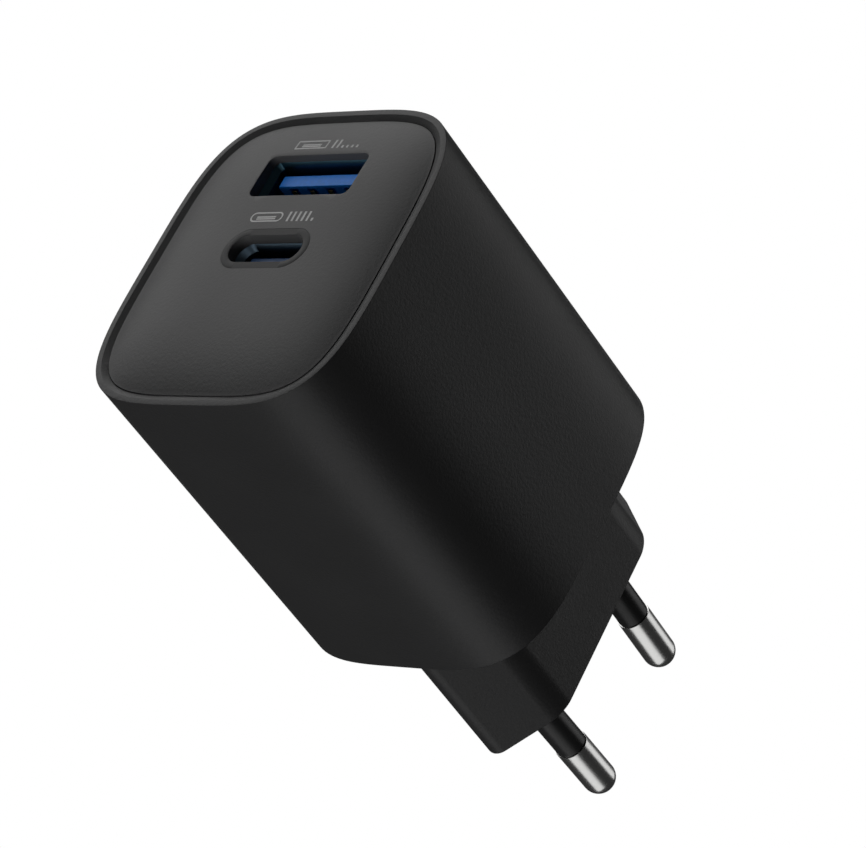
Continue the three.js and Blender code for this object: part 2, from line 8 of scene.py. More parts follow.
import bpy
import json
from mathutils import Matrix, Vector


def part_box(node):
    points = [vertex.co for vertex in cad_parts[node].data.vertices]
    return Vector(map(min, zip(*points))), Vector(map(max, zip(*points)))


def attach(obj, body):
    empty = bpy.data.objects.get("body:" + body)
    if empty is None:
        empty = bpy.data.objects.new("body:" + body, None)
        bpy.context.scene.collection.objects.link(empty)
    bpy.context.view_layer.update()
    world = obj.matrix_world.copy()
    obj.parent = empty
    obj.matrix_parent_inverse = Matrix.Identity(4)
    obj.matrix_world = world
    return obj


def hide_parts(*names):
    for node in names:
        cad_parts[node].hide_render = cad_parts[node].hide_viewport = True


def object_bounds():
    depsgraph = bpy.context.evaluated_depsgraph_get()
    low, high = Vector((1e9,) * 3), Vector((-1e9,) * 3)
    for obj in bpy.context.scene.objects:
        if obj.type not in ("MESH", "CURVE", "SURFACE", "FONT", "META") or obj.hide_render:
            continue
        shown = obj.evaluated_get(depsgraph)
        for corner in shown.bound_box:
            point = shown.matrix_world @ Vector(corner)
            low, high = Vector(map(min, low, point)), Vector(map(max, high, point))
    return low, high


bl_info = {
    "name": "USB Wall Charger",
    "version": (1, 0, 0),
    "blender": (4, 5, 0),
    "location": "3D View > Sidebar > Charger",
    "description": "Builds the casing, ports, plug and finishes of a USB wall charger",
    "category": "Object",
}

import json
import math
from contextlib import contextmanager

import bmesh
import bpy
from bpy.props import FloatProperty, FloatVectorProperty, IntProperty, PointerProperty
from mathutils import Matrix, Vector

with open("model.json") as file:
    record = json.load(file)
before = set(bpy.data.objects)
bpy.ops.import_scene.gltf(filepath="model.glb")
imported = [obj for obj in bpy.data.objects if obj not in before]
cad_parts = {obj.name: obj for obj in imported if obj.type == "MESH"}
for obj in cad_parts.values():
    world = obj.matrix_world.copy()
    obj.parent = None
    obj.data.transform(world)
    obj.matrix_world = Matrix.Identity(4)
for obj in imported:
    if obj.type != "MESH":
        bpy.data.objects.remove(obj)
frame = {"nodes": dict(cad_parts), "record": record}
CAD_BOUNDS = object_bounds()

MM = 0.001
CHARGER = "charger"
COVER_BACK = -61.3 * MM
GAUGE_BARS = 6
# the share of a bar's half height that its corners take up when it is rounded all the way
FULLY_ROUND = 0.999
HOUSING_LOW, HOUSING_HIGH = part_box("housing_shell")
COVER_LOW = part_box("front_cover")[0]
COLLAR_LOW, COLLAR_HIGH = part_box("usb_c_collar")
PIN_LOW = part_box("pin_upper")[0]
SLEEVE_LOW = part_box("pin_sleeve_upper")[0]
TONGUE_LOW, TONGUE_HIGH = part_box("usb_a_tongue")
USB_A_LOW, USB_A_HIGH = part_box("usb_a_shell")
USB_C_LOW, USB_C_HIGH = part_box("usb_c_shell")


# ---------------------------------------------------------------- sizes and colours to change
def length(name, description, default):
    """A property that holds a length in metres."""
    return FloatProperty(
        name=name, description=description, default=default, min=0.0,
        subtype="DISTANCE", unit="LENGTH", precision=5,
    )


def angle(name, description, degrees):
    """A property that holds an angle."""
    return FloatProperty(
        name=name, description=description, default=math.radians(degrees), subtype="ANGLE",
    )


def colour(name, description, default):
    """A property that holds a linear colour."""
    return FloatVectorProperty(
        name=name, description=description, default=default, size=3,
        subtype="COLOR", min=0.0, max=1.0,
    )


class HousingSizes(bpy.types.PropertyGroup):
    """The moulded tube and its bevelled mouth."""

    exponent: FloatProperty(
        name="Corner exponent", description="Superellipse exponent of the section",
        default=3.93, min=2.0, max=12.0,
    )
    corner_steps: IntProperty(
        name="Corner steps", description="Faces in each quarter of the section", default=48,
    )
    rim_land: length("Rim land", "Width of the flat ring at the mouth", 0.69 * MM)
    bevel_width: length("Bevel width", "Width of the sloping ring inside the land", 0.74 * MM)
    bevel_depth: length("Bevel depth", "Fall of the sloping ring", 0.35 * MM)
    wall: length("Wall", "Thickness of the tube", 1.8 * MM)
    rear_wall: length("Rear wall", "Thickness round the plug block", 1.6 * MM)
    front_edge: length("Front edge", "Radius of the outer front edge", 0.06 * MM)
    rear_edge: length("Rear edge", "Radius of the shoulder's edge", 0.22 * MM)


class CoverSizes(bpy.types.PropertyGroup):
    """The crowned port face and what is printed on it."""

    seam: length("Seam", "Gap between the face and the mouth", 0.01 * MM)
    edge_radius: length("Edge radius", "Rounding where the face turns down", 0.06 * MM)
    crown: length("Crown", "Rise of the face from its edge to its middle", 1.22 * MM)
    crown_exponent: FloatProperty(
        name="Crown exponent", description="How flat the middle of the crown is",
        default=3.8, min=1.0, max=8.0,
    )
    thickness: length("Thickness", "Wall of the face at its middle", 1.35 * MM)
    opening_width: length("USB-A opening width", "Across the opening", 13.7 * MM)
    opening_height: length("USB-A opening height", "Height of the opening", 5.87 * MM)
    opening_radius: length("USB-A corner radius", "Corners of the opening", 0.9 * MM)
    collar_wall: length("Collar wall", "Width of the oval ring round USB-C", 0.87 * MM)
    mark_height: length("Mark height", "Height of the printed port signs", 1.3 * MM)
    mark_width: length("Mark width", "Overall width of a printed port sign", 8.9 * MM)
    usb_a_mark: length("USB-A sign", "Height of the upper sign above the origin", 14.83 * MM)
    usb_c_mark: length("USB-C sign", "Height of the lower sign above the origin", 4.31 * MM)


class PlugSizes(bpy.types.PropertyGroup):
    """The plug block and its pins."""

    half_width: length("Half width", "Half the block's width across its flats", 6.67 * MM)
    flat_half_height: length("Flat half height", "Where the slanted ends begin", 11.9 * MM)
    nose_radius: length("Nose radius", "Rounding of the block's two ends", 1.65 * MM)
    corner_radius: length("Corner radius", "Rounding of its four blunt corners", 4.5 * MM)
    face_edge: length("Face edge", "Radius round the face that meets the socket", 0.2 * MM)
    flange: length("Flange", "Thickness of the flange inside the housing", 1.5 * MM)
    pin_radius: length("Pin radius", "Radius of the bare metal", 2.0 * MM)
    core_radius: length("Core radius", "Radius of the metal in the sleeve", 1.55 * MM)
    sleeve_radius: length("Sleeve radius", "Radius of the insulating sleeve", 1.87 * MM)
    sleeve_length: length("Sleeve length", "Reach of the sleeve from the block", 10.43 * MM)
    pin_length: length("Pin length", "Reach of the pin from the block", 19.05 * MM)
    spacing: length("Pin spacing", "Between the pin axes at the block", 18.74 * MM)
    tip_spacing: length("Tip spacing", "Between the pin axes at their tips", 17.8 * MM)


class PortSizes(bpy.types.PropertyGroup):
    """What stands inside the two ports."""

    sheet: length("Sheet", "Thickness of the stamped shells", 0.3 * MM)
    contact_pitch: length("Contact pitch", "Between the USB-A contacts", 2.5 * MM)
    tongue_thickness: length("Tongue thickness", "Thickness of the USB-A tongue", 1.78 * MM)
    slot_width: length("Slot width", "Width of the slots in the USB-A tongue", 1.2 * MM)
    slot_setback: length("Slot setback", "From the tongue's front to its slots", 0.41 * MM)
    contact_width: length("Contact width", "Width of a contact strip", 0.6 * MM)
    bow: length("Contact bow", "How far a contact stands out of its slot", 0.55 * MM)
    pad_pitch: length("Pad pitch", "Between the USB-C pads", 0.5 * MM)
    pad_width: length("Pad width", "Width of a USB-C pad", 0.25 * MM)


class FinishColours(bpy.types.PropertyGroup):
    """The colours of the visible finishes."""

    housing: colour("Housing", "Black of the tube and plug block", (0.025, 0.025, 0.0254))
    cover: colour("Port face", "Black of the port face", (0.025, 0.025, 0.0254))
    collar: colour("Collar", "Black of the oval ring", (0.012, 0.012, 0.0123))
    # the openings' walls are given a paler black than the face, as painted light
    opening: colour("Openings", "Black of the openings' walls", (0.06, 0.06, 0.061))
    sleeve: colour("Sleeves", "Black of the pin sleeves", (0.018, 0.018, 0.0184))
    ink: colour("Ink", "Grey of the printed signs", (0.55, 0.55, 0.55))
    blue: colour("USB-A tongue", "Bright blue of the wide port's tongue", (0.014, 0.24, 0.86))
    blue_grey: colour("USB-C tongue", "Dull blue of the oval port's tongue", (0.03, 0.09, 0.24))
    nickel: colour("Nickel", "Plating of the pins", (0.68, 0.68, 0.67))


class StageSettings(bpy.types.PropertyGroup):
    """Camera and floor."""

    azimuth: angle("Azimuth", "Camera's turn round the charger", 46.41)
    elevation: angle("Elevation", "Camera's height above the horizon", -28.4)
    roll: angle("Roll", "Camera's turn about its own axis", 27.84)
    distance: length("Distance", "From the camera to the point it looks at", 0.43)
    lens: FloatProperty(
        name="Lens", description="Focal length on a 36 mm sensor, in millimetres", default=158.54,
    )
    floor_drop: length("Floor drop", "How far the floor lies below the charger", 1.2)


# ---------------------------------------------------------------- modelling helpers
def choose(*pieces):
    """Selects only these pieces, the last of them active."""
    bpy.ops.object.select_all(action="DESELECT")
    for piece in pieces:
        piece.select_set(True)
    bpy.context.view_layer.objects.active = pieces[-1]


def settle(piece, name):
    """Names a piece and puts its place into its mesh."""
    choose(piece)
    bpy.ops.object.transform_apply(location=True, rotation=True, scale=True)
    piece.name = name
    piece.data.name = name
    return piece


def add_block(name, low, high):
    """A cube stretched between two corners."""
    low = Vector(low)
    high = Vector(high)
    bpy.ops.object.select_all(action="DESELECT")
    bpy.ops.mesh.primitive_cube_add(size=1, location=(low + high) / 2, scale=high - low)
    return settle(bpy.context.object, name)


def add_rod(name, radius, y_from, y_to, sides=64):
    """A cylinder along Y."""
    bpy.ops.object.select_all(action="DESELECT")
    bpy.ops.mesh.primitive_cylinder_add(
        vertices=sides, radius=radius, depth=y_to - y_from,
        location=(0, (y_from + y_to) / 2, 0), rotation=(-math.pi / 2, 0, 0),
    )
    return settle(bpy.context.object, name)


@contextmanager
def editing(piece):
    """Edit mode on one piece, with nothing selected at first."""
    choose(piece)
    bpy.ops.object.mode_set(mode="EDIT")
    bpy.ops.mesh.select_all(action="DESELECT")
    yield
    bpy.ops.object.mode_set(mode="OBJECT")


def pick_faces(test):
    """Selects only the faces whose middle and normal pass the test."""
    bpy.ops.mesh.select_mode(type="FACE")
    bpy.ops.mesh.select_all(action="DESELECT")
    data = bpy.context.edit_object.data
    mesh = bmesh.from_edit_mesh(data)
    mesh.normal_update()
    found = [face for face in mesh.faces if test(face.calc_center_median(), face.normal)]
    for face in found:
        face.select_set(True)
    bmesh.update_edit_mesh(data)
    if not found:
        raise RuntimeError(f"no face to pick on {data.name}")


def pick_edges(test):
    """Selects only the edges that pass a test of their middle, direction and fold angle."""
    bpy.ops.mesh.select_mode(type="EDGE")
    bpy.ops.mesh.select_all(action="DESELECT")
    data = bpy.context.edit_object.data
    mesh = bmesh.from_edit_mesh(data)
    mesh.normal_update()
    found = []
    for edge in mesh.edges:
        first, second = (vertex.co for vertex in edge.verts)
        run = (second - first).normalized()
        if test((first + second) / 2, run, edge.calc_face_angle(math.pi)):
            found.append(edge)
    for edge in found:
        edge.select_set(True)
    bmesh.update_edit_mesh(data)
    if not found:
        raise RuntimeError(f"no edge to pick on {data.name}")


def facing_front(middle, normal):
    """True for a face that looks the way the ports do."""
    return normal.y < -0.9


def facing_rear(middle, normal):
    """True for a face that looks the way the pins do."""
    return normal.y > 0.9


def along_y(middle, run, fold):
    """True for an edge that runs along Y."""
    return abs(run.y) > 0.99


def near(value, target, tolerance=0.01 * MM):
    """True if two lengths are the same."""
    return abs(value - target) < tolerance


def extrude(x=0.0, y=0.0, z=0.0):
    """Extrudes the selected faces by an offset."""
    bpy.ops.mesh.extrude_region_move(TRANSFORM_OT_translate={"value": (x, y, z)})


def resize(x=1.0, y=1.0, z=1.0, about=(0.0, 0.0, 0.0)):
    """Scales the selection about a point."""
    bpy.ops.transform.resize(value=(x, y, z), center_override=about)


def inset(width, rise=0.0):
    """Insets the selected faces by a true width, and raises them along their normals."""
    bpy.ops.mesh.inset(thickness=width, depth=rise, use_even_offset=True)


def bevel(width, steps=1, profile=0.5):
    """Rounds the selected edges off."""
    bpy.ops.mesh.bevel(
        offset_type="OFFSET", offset=width, segments=steps, profile=profile,
        affect="EDGES", clamp_overlap=False,
    )


def merge(distance=0.002 * MM):
    """Merges vertices that lie on each other."""
    bpy.ops.mesh.select_all(action="SELECT")
    bpy.ops.mesh.remove_doubles(threshold=distance)
    bpy.ops.mesh.select_all(action="DESELECT")


def face_outwards(piece):
    """Recalculates a closed piece's normals."""
    with editing(piece):
        bpy.ops.mesh.select_all(action="SELECT")
        bpy.ops.mesh.normals_make_consistent(inside=False)


def apply_modifier(piece, kind, **settings):
    """Adds a modifier, sets it and applies it."""
    choose(piece)
    modifier = piece.modifiers.new("shaping", kind)
    for name, value in settings.items():
        setattr(modifier, name, value)
    bpy.ops.object.modifier_apply(modifier=modifier.name)


def carve(piece, *cutters):
    """Cuts each cutter out of a piece and throws the cutter away."""
    for cutter in cutters:
        apply_modifier(piece, "BOOLEAN", operation="DIFFERENCE", solver="EXACT", object=cutter)
        bpy.data.objects.remove(cutter, do_unlink=True)


def duplicate(piece, name, offset=(0.0, 0.0, 0.0)):
    """A copy with a mesh of its own, moved by an offset."""
    choose(piece)
    bpy.ops.object.duplicate(linked=False)
    copy = bpy.context.object
    copy.location = Vector(offset)
    return settle(copy, name)


def join_pieces(name, pieces):
    """Joins pieces into one object."""
    choose(*pieces)
    bpy.ops.object.join()
    return settle(bpy.context.object, name)


def smooth(piece, degrees=40.0):
    """Smooth shading that keeps the sharp edges, and keeps the broad faces even."""
    choose(piece)
    bpy.ops.object.shade_smooth_by_angle(angle=math.radians(degrees))
    apply_modifier(piece, "WEIGHTED_NORMAL", keep_sharp=True, weight=50)


def complete(piece, material, slot, *nodes, body=CHARGER):
    """Gives a finished piece its material and its body, and hides the frame nodes that it stands for."""
    piece.data.materials.clear()
    piece.data.materials.append(material)
    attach(piece, body)
    if nodes:
        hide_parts(*nodes)
    return piece


def refinish(piece, material, test):
    """Gives the faces that pass the test a finish of their own."""
    piece.data.materials.append(material)
    piece.active_material_index = len(piece.data.materials) - 1
    with editing(piece):
        pick_faces(test)
        bpy.ops.object.material_slot_assign()


# ---------------------------------------------------------------- shader helpers
class Field:
    """A value that varies over a surface. Arithmetic on it adds Math nodes."""

    def __init__(self, finish, socket):
        self.finish = finish
        self.socket = socket

    def _math(self, operation, first, second):
        settings = {"operation": operation}
        node = self.finish.node("ShaderNodeMath", settings, {0: first, 1: second})
        return Field(self.finish, node.outputs[0])

    def __add__(self, other):
        return self._math("ADD", self, other)

    def __sub__(self, other):
        return self._math("SUBTRACT", self, other)

    def __rsub__(self, other):
        return self._math("SUBTRACT", other, self)

    def __mul__(self, other):
        return self._math("MULTIPLY", self, other)

    def __gt__(self, other):
        return self._math("GREATER_THAN", self, other)

    __radd__ = __add__
    __rmul__ = __mul__


class Finish:
    """A material built from one Principled shader and the nodes that feed it."""

    def __init__(self, name, **uniform):
        self.material = bpy.data.materials.new(name)
        self.material.use_nodes = True
        self.tree = self.material.node_tree
        self.tree.nodes.clear()
        self.shader = self.node("ShaderNodeBsdfPrincipled")
        self.node("ShaderNodeOutputMaterial", inputs={"Surface": self.shader.outputs[0]})
        self.place = self.node("ShaderNodeTexCoord").outputs["Object"]
        for socket, value in uniform.items():
            self.set(socket.replace("_", " "), value)

    def node(self, kind, settings=None, inputs=None):
        """Adds a node, sets it, and gives its sockets values or links."""
        node = self.tree.nodes.new(kind)
        for name, value in (settings or {}).items():
            if name == "stops":
                self._fill_ramp(node.color_ramp, value)
            else:
                setattr(node, name, value)
        for name, value in (inputs or {}).items():
            self._feed(node.inputs[name], value)
        return node

    @staticmethod
    def _fill_ramp(ramp, stops):
        while len(ramp.elements) < len(stops):
            ramp.elements.new(1.0)
        for element, (position, value) in zip(ramp.elements, stops):
            element.position = position
            element.color = (*value, 1.0)

    def _feed(self, socket, value):
        if isinstance(value, Field):
            self.tree.links.new(value.socket, socket)
        elif isinstance(value, bpy.types.NodeSocket):
            self.tree.links.new(value, socket)
        else:
            socket.default_value = value

    def set(self, socket, value):
        """Feeds one of the shader's own sockets."""
        self._feed(self.shader.inputs[socket], value)

    def stretched(self, x, y, z):
        """The surface's own place, stretched along the three axes."""
        node = self.node("ShaderNodeMapping", inputs={"Vector": self.place, "Scale": (x, y, z)})
        return node.outputs[0]

    def noise(self, size, detail=2.0, place=None, roughness=0.5):
        """Soft noise whose blotches are about this size."""
        inputs = {
            "Vector": place or self.place, "Scale": 1.0 / size,
            "Detail": detail, "Roughness": roughness,
        }
        return Field(self, self.node("ShaderNodeTexNoise", inputs=inputs).outputs["Fac"])

    def cells(self, size):
        """Distance from the middle of the nearest cell."""
        inputs = {"Vector": self.place, "Scale": 1.0 / size}
        return Field(self, self.node("ShaderNodeTexVoronoi", inputs=inputs).outputs["Distance"])

    def bands(self, pitch, axis, distortion=0.0):
        """Even bands across one axis."""
        settings = {"wave_type": "BANDS", "bands_direction": axis, "wave_profile": "SIN"}
        inputs = {
            "Vector": self.place, "Scale": math.tau / (20.0 * pitch), "Distortion": distortion,
        }
        return Field(self, self.node("ShaderNodeTexWave", settings, inputs).outputs["Fac"])

    def ramp(self, field, stops):
        """A colour ramp over a field."""
        node = self.node("ShaderNodeValToRGB", {"stops": stops}, {"Fac": field})
        return node.outputs["Color"]

    def mix(self, factor, first, second):
        """A colour between two colours."""
        def opaque(value):
            return (*value, 1.0) if isinstance(value, (tuple, list, Vector)) else value

        inputs = {0: factor, 6: opaque(first), 7: opaque(second)}
        return self.node("ShaderNodeMix", {"data_type": "RGBA"}, inputs).outputs[2]

    def bump(self, height, depth, strength=1.0):
        """Relief of a depth in metres."""
        inputs = {"Height": height, "Distance": depth, "Strength": strength}
        self.set("Normal", self.node("ShaderNodeBump", inputs=inputs).outputs[0])


def shade(colour_value, factor):
    """A colour made lighter or darker."""
    return tuple(min(channel * factor, 1.0) for channel in colour_value)


def moulded_plastic(name, base, grain, gloss, relief, specular):
    """Moulded plastic: an even colour with faint flow mottling under a fine spark-eroded grain."""
    finish = Finish(name, Specular_IOR_Level=specular)
    grains = finish.noise(grain, detail=3.0, roughness=0.65)
    mottling = finish.noise(9 * MM, detail=2.0)
    finish.set("Base Color", finish.mix(mottling, shade(base, 0.9), shade(base, 1.1)))
    finish.set("Roughness", gloss + 0.05 * mottling + 0.08 * (grains - 0.5))
    finish.bump(grains, relief)
    return finish.material


# ---------------------------------------------------------------- visible finishes
def housing_finish(colours):
    """Satin black of the tube and the plug block."""
    return moulded_plastic(
        "housing_black", tuple(colours.housing),
        grain=0.34 * MM, gloss=0.42, relief=0.028 * MM, specular=0.28,
    )


def cover_finish(colours):
    """Satin black of the port face, with a shallower grain than the tube's."""
    return moulded_plastic(
        "port_face_black", tuple(colours.cover),
        grain=0.34 * MM, gloss=0.4, relief=0.02 * MM, specular=0.28,
    )


def collar_finish(colours):
    """Smoother black of the oval ring."""
    return moulded_plastic(
        "collar_black", tuple(colours.collar),
        grain=0.1 * MM, gloss=0.42, relief=0.002 * MM, specular=0.16,
    )


def lit_opening_finish(colours):
    """Moulded walls of the openings, paler than the textured face: the paler black is painted light."""
    return moulded_plastic(
        "opening_lit_black", tuple(colours.opening),
        grain=0.1 * MM, gloss=0.5, relief=0.002 * MM, specular=0.3,
    )


def sleeve_finish(colours):
    """Smooth black of the pin sleeves."""
    return moulded_plastic(
        "sleeve_black", tuple(colours.sleeve),
        grain=0.08 * MM, gloss=0.32, relief=0.001 * MM, specular=0.28,
    )


def ink_finish(colours):
    """Pad-printed ink with a fine speckle."""
    finish = Finish("sign_ink", Specular_IOR_Level=0.2)
    speckle = finish.noise(0.05 * MM, detail=2.0)
    ink = tuple(colours.ink)
    finish.set("Base Color", finish.mix(speckle, shade(ink, 0.85), shade(ink, 1.12)))
    finish.set("Roughness", 0.5 + 0.2 * speckle)
    finish.bump(speckle, 0.002 * MM)
    return finish.material


def blue_finish(name, blue):
    """Blue moulding with faint flow lines along the tongue."""
    finish = Finish(name, Specular_IOR_Level=0.18)
    flow = finish.noise(0.5 * MM, detail=2.0, place=finish.stretched(1.0, 0.25, 1.0))
    pores = finish.noise(0.06 * MM, detail=2.0)
    finish.set("Base Color", finish.mix(flow, shade(blue, 0.85), shade(blue, 1.15)))
    finish.set("Roughness", 0.28 + 0.12 * flow)
    finish.bump(pores, 0.001 * MM)
    return finish.material


def nickel_finish(colours):
    """Bright nickel plate with turning lines round the pin and fine rubbing along it."""
    finish = Finish("nickel_plate", Metallic=1.0)
    turning = finish.noise(0.05 * MM, detail=2.0, place=finish.stretched(0.05, 1.0, 0.05))
    rubbing = finish.noise(0.12 * MM, detail=3.0, place=finish.stretched(1.0, 0.04, 1.0))
    nickel = tuple(colours.nickel)
    finish.set("Base Color", finish.mix(rubbing, shade(nickel, 0.94), shade(nickel, 1.05)))
    finish.set("Roughness", 0.21 + 0.05 * rubbing + 0.03 * turning)
    finish.bump(turning, 0.0004 * MM)
    return finish.material


def steel_finish(name="port_steel", shade_and_reflection_tone=(0.045, 0.1, 0.135)):
    """Sheet steel with rolling lines, in the ports' shells; its dark teal tone is painted shade inside
    the ports and a painted reflection of the blue tongue.
    """
    # the teal specular tint is a painted reflection of the blue tongue
    finish = Finish(name, Metallic=1.0, Specular_Tint=(0.25, 0.4, 0.5, 1.0))
    rolling = finish.noise(0.08 * MM, detail=3.0, place=finish.stretched(1.0, 0.05, 1.0))
    tarnish = finish.noise(2.5 * MM, detail=2.0)
    finish.set("Base Color", finish.mix(tarnish, shade(shade_and_reflection_tone, 0.75), shade(shade_and_reflection_tone, 1.2)))
    finish.set("Roughness", 0.26 + 0.14 * rolling)
    finish.bump(rolling, 0.001 * MM)
    return finish.material


def gold_finish():
    """Gold flash over spring bronze."""
    finish = Finish("contact_gold", Metallic=1.0)
    rubbing = finish.noise(0.06 * MM, detail=2.0, place=finish.stretched(1.0, 0.1, 1.0))
    finish.set("Base Color", finish.mix(rubbing, (0.82, 0.5, 0.16), (0.95, 0.66, 0.28)))
    finish.set("Roughness", 0.18 + 0.12 * rubbing)
    finish.bump(rubbing, 0.0008 * MM)
    return finish.material


# ---------------------------------------------------------------- finishes inside the casing
def laminate_finish():
    """Green solder mask over a weave, with lighter traces."""
    finish = Finish("board_green", Specular_IOR_Level=0.5)
    traces = finish.bands(1.1 * MM, "Z", distortion=6.0)
    weave = finish.bands(0.28 * MM, "Z") * finish.bands(0.28 * MM, "Y")
    tracks = finish.ramp(traces, [(0.55, (0.012, 0.075, 0.03)), (0.62, (0.03, 0.16, 0.06))])
    finish.set("Base Color", finish.mix(0.25 * weave, tracks, (0.01, 0.05, 0.02)))
    finish.set("Roughness", 0.3 + 0.15 * weave)
    finish.bump(traces, 0.02 * MM, 0.4)
    return finish.material


def ferrite_finish():
    """Ground ferrite: near black with grey specks."""
    finish = Finish("ferrite_grey", Specular_IOR_Level=0.4)
    specks = finish.noise(0.12 * MM, detail=4.0, roughness=0.7)
    finish.set("Base Color", finish.ramp(specks, [(0.45, (0.02, 0.02, 0.022)), (0.7, (0.09, 0.09, 0.1))]))
    finish.set("Roughness", 0.5 + 0.25 * specks)
    finish.bump(specks, 0.01 * MM)
    return finish.material


def tape_finish():
    """Yellow polyester tape wound round the coil, with its overlapped edges."""
    finish = Finish("winding_tape", Specular_IOR_Level=0.5)
    laps = finish.bands(3.0 * MM, "X")
    creases = finish.noise(0.7 * MM, detail=3.0)
    finish.set("Base Color", finish.mix(laps, (0.62, 0.4, 0.02), (0.78, 0.55, 0.05)))
    finish.set("Roughness", 0.25 + 0.2 * creases)
    finish.bump(laps + 0.3 * creases, 0.04 * MM)
    return finish.material


def wire_finish():
    """Enamelled copper wire laid in close turns."""
    finish = Finish("enamelled_copper", Metallic=1.0)
    turns = finish.bands(0.45 * MM, "Z")
    drift = finish.noise(1.5 * MM)
    finish.set("Base Color", finish.mix(drift, (0.55, 0.2, 0.08), (0.75, 0.33, 0.14)))
    finish.set("Roughness", 0.22 + 0.15 * drift)
    finish.bump(turns, 0.12 * MM)
    return finish.material


def aluminium_finish():
    """Drawn and rolled aluminium."""
    finish = Finish("rolled_aluminium", Metallic=1.0)
    rolling = finish.noise(0.1 * MM, detail=3.0, place=finish.stretched(1.0, 0.06, 1.0))
    finish.set("Base Color", finish.mix(rolling, (0.6, 0.61, 0.62), (0.75, 0.76, 0.77)))
    finish.set("Roughness", 0.25 + 0.2 * rolling)
    finish.bump(rolling, 0.002 * MM)
    return finish.material


def epoxy_finish():
    """Matte moulding compound of the chips and moulded parts."""
    return moulded_plastic(
        "moulded_epoxy", (0.018, 0.018, 0.02),
        grain=0.09 * MM, gloss=0.55, relief=0.004 * MM, specular=0.4,
    )


def can_sleeve_finish():
    """Shrunk film with a paler stripe down one side of each can."""
    finish = Finish("can_sleeve", Specular_IOR_Level=0.5)
    stripe = finish.bands(8.6 * MM, "Y") > 0.93
    wrinkles = finish.noise(0.6 * MM, detail=3.0)
    finish.set("Base Color", finish.mix(stripe, (0.012, 0.02, 0.035), (0.3, 0.32, 0.34)))
    finish.set("Roughness", 0.2 + 0.15 * wrinkles)
    finish.bump(wrinkles, 0.01 * MM)
    return finish.material


def lacquer_finish():
    """Dipped blue lacquer with orange-peel."""
    finish = Finish("disc_lacquer", Specular_IOR_Level=0.5)
    peel = finish.noise(0.5 * MM, detail=2.0)
    finish.set("Base Color", finish.mix(peel, (0.02, 0.12, 0.3), (0.04, 0.2, 0.42)))
    finish.set("Roughness", 0.15 + 0.15 * peel)
    finish.bump(peel, 0.02 * MM)
    return finish.material


def resin_finish():
    """Pale moulded box."""
    return moulded_plastic(
        "box_resin", (0.5, 0.46, 0.3),
        grain=0.14 * MM, gloss=0.4, relief=0.005 * MM, specular=0.4,
    )


def pad_finish():
    """Soft grey silicone with filler specks."""
    finish = Finish("thermal_pad", Specular_IOR_Level=0.3)
    filler = finish.cells(0.2 * MM)
    finish.set("Base Color", finish.mix(filler, (0.2, 0.22, 0.25), (0.32, 0.34, 0.38)))
    finish.set("Roughness", 0.75 + 0.2 * filler)
    finish.bump(filler, 0.01 * MM)
    return finish.material


def film_finish():
    """Milky insulating film with creases."""
    finish = Finish("insulating_film", Specular_IOR_Level=0.5)
    creases = finish.noise(3 * MM, detail=3.0)
    finish.set("Base Color", finish.mix(creases, (0.6, 0.56, 0.42), (0.7, 0.66, 0.52)))
    finish.set("Roughness", 0.2 + 0.2 * creases)
    finish.bump(creases, 0.05 * MM)
    return finish.material


INNER_FINISHES = {
    # the shells inside take the same dark teal steel: painted shade and a painted reflection of the blue
    # tongue
    "port_steel": steel_finish,
    "gold_plate": gold_finish,
    "copper": wire_finish,
    "can_aluminium": aluminium_finish,
    "board_laminate": laminate_finish,
    "ferrite": ferrite_finish,
    "winding_tape": tape_finish,
    "moulded_epoxy": epoxy_finish,
    "can_sleeve": can_sleeve_finish,
    "disc_lacquer": lacquer_finish,
    "box_resin": resin_finish,
    "thermal_pad": pad_finish,
    "film": film_finish,
}


# ---------------------------------------------------------------- casing
def superellipse_profile(exponent):
    """The bevel profile that rounds a corner to a superellipse of this exponent."""
    return 2.0 ** (-2.0 / exponent)


def soft_block(name, sizes, y_from, y_to):
    """A block with the housing's section, its four long edges rounded till they meet."""
    block = add_block(
        name, (HOUSING_LOW.x, y_from, HOUSING_LOW.z), (HOUSING_HIGH.x, y_to, HOUSING_HIGH.z),
    )
    with editing(block):
        pick_edges(along_y)
        bpy.ops.mesh.bevel(
            offset_type="PERCENT", offset_pct=49.99, segments=sizes.corner_steps,
            profile=superellipse_profile(sizes.exponent), affect="EDGES",
        )
        merge(0.02 * MM)
    return block


def build_housing(sizes, plug):
    """The tube, with its land, bevel and ledge at the mouth and the plug's hole in the rear."""
    front = HOUSING_LOW.y
    rear = HOUSING_HIGH.y
    housing = soft_block("housing", sizes, front, rear)
    ledge = COVER_BACK + 0.3 * MM
    mouth_front = front + sizes.bevel_depth
    mouth_inset = sizes.rim_land + sizes.bevel_width
    with editing(housing):
        pick_faces(facing_front)
        inset(sizes.rim_land)
        inset(sizes.bevel_width, -sizes.bevel_depth)
        extrude(y=ledge - mouth_front)
        inset(sizes.wall - mouth_inset)
        extrude(y=rear - sizes.rear_wall - ledge)
        half = HOUSING_HIGH.x
        pick_edges(lambda middle, run, fold: near(middle.y, rear) and fold > 1.0)
        bevel(sizes.rear_edge, 6)
        pick_edges(
            lambda middle, run, fold: near(middle.y, front) and fold > 1.0
            and section_reach(middle) > half - 0.3 * MM
        )
        bevel(sizes.front_edge, 3)
        pick_edges(lambda middle, run, fold: near(middle.y, mouth_front) and fold > 0.8)
        bevel(0.05 * MM, 2)
    hole = plug_block("plug_hole", plug, rear - 3 * MM, rear + 1 * MM, gap=0.06 * MM)
    carve(housing, hole)
    return housing


def section_reach(point):
    """How wide the housing's section would be for this point to lie on its outline."""
    exponent = bpy.context.scene.charger_housing.exponent
    ratio = HOUSING_HIGH.x / HOUSING_HIGH.z
    across = abs(point.x) ** exponent
    up = (abs(point.z) * ratio) ** exponent
    return (across + up) ** (1.0 / exponent)


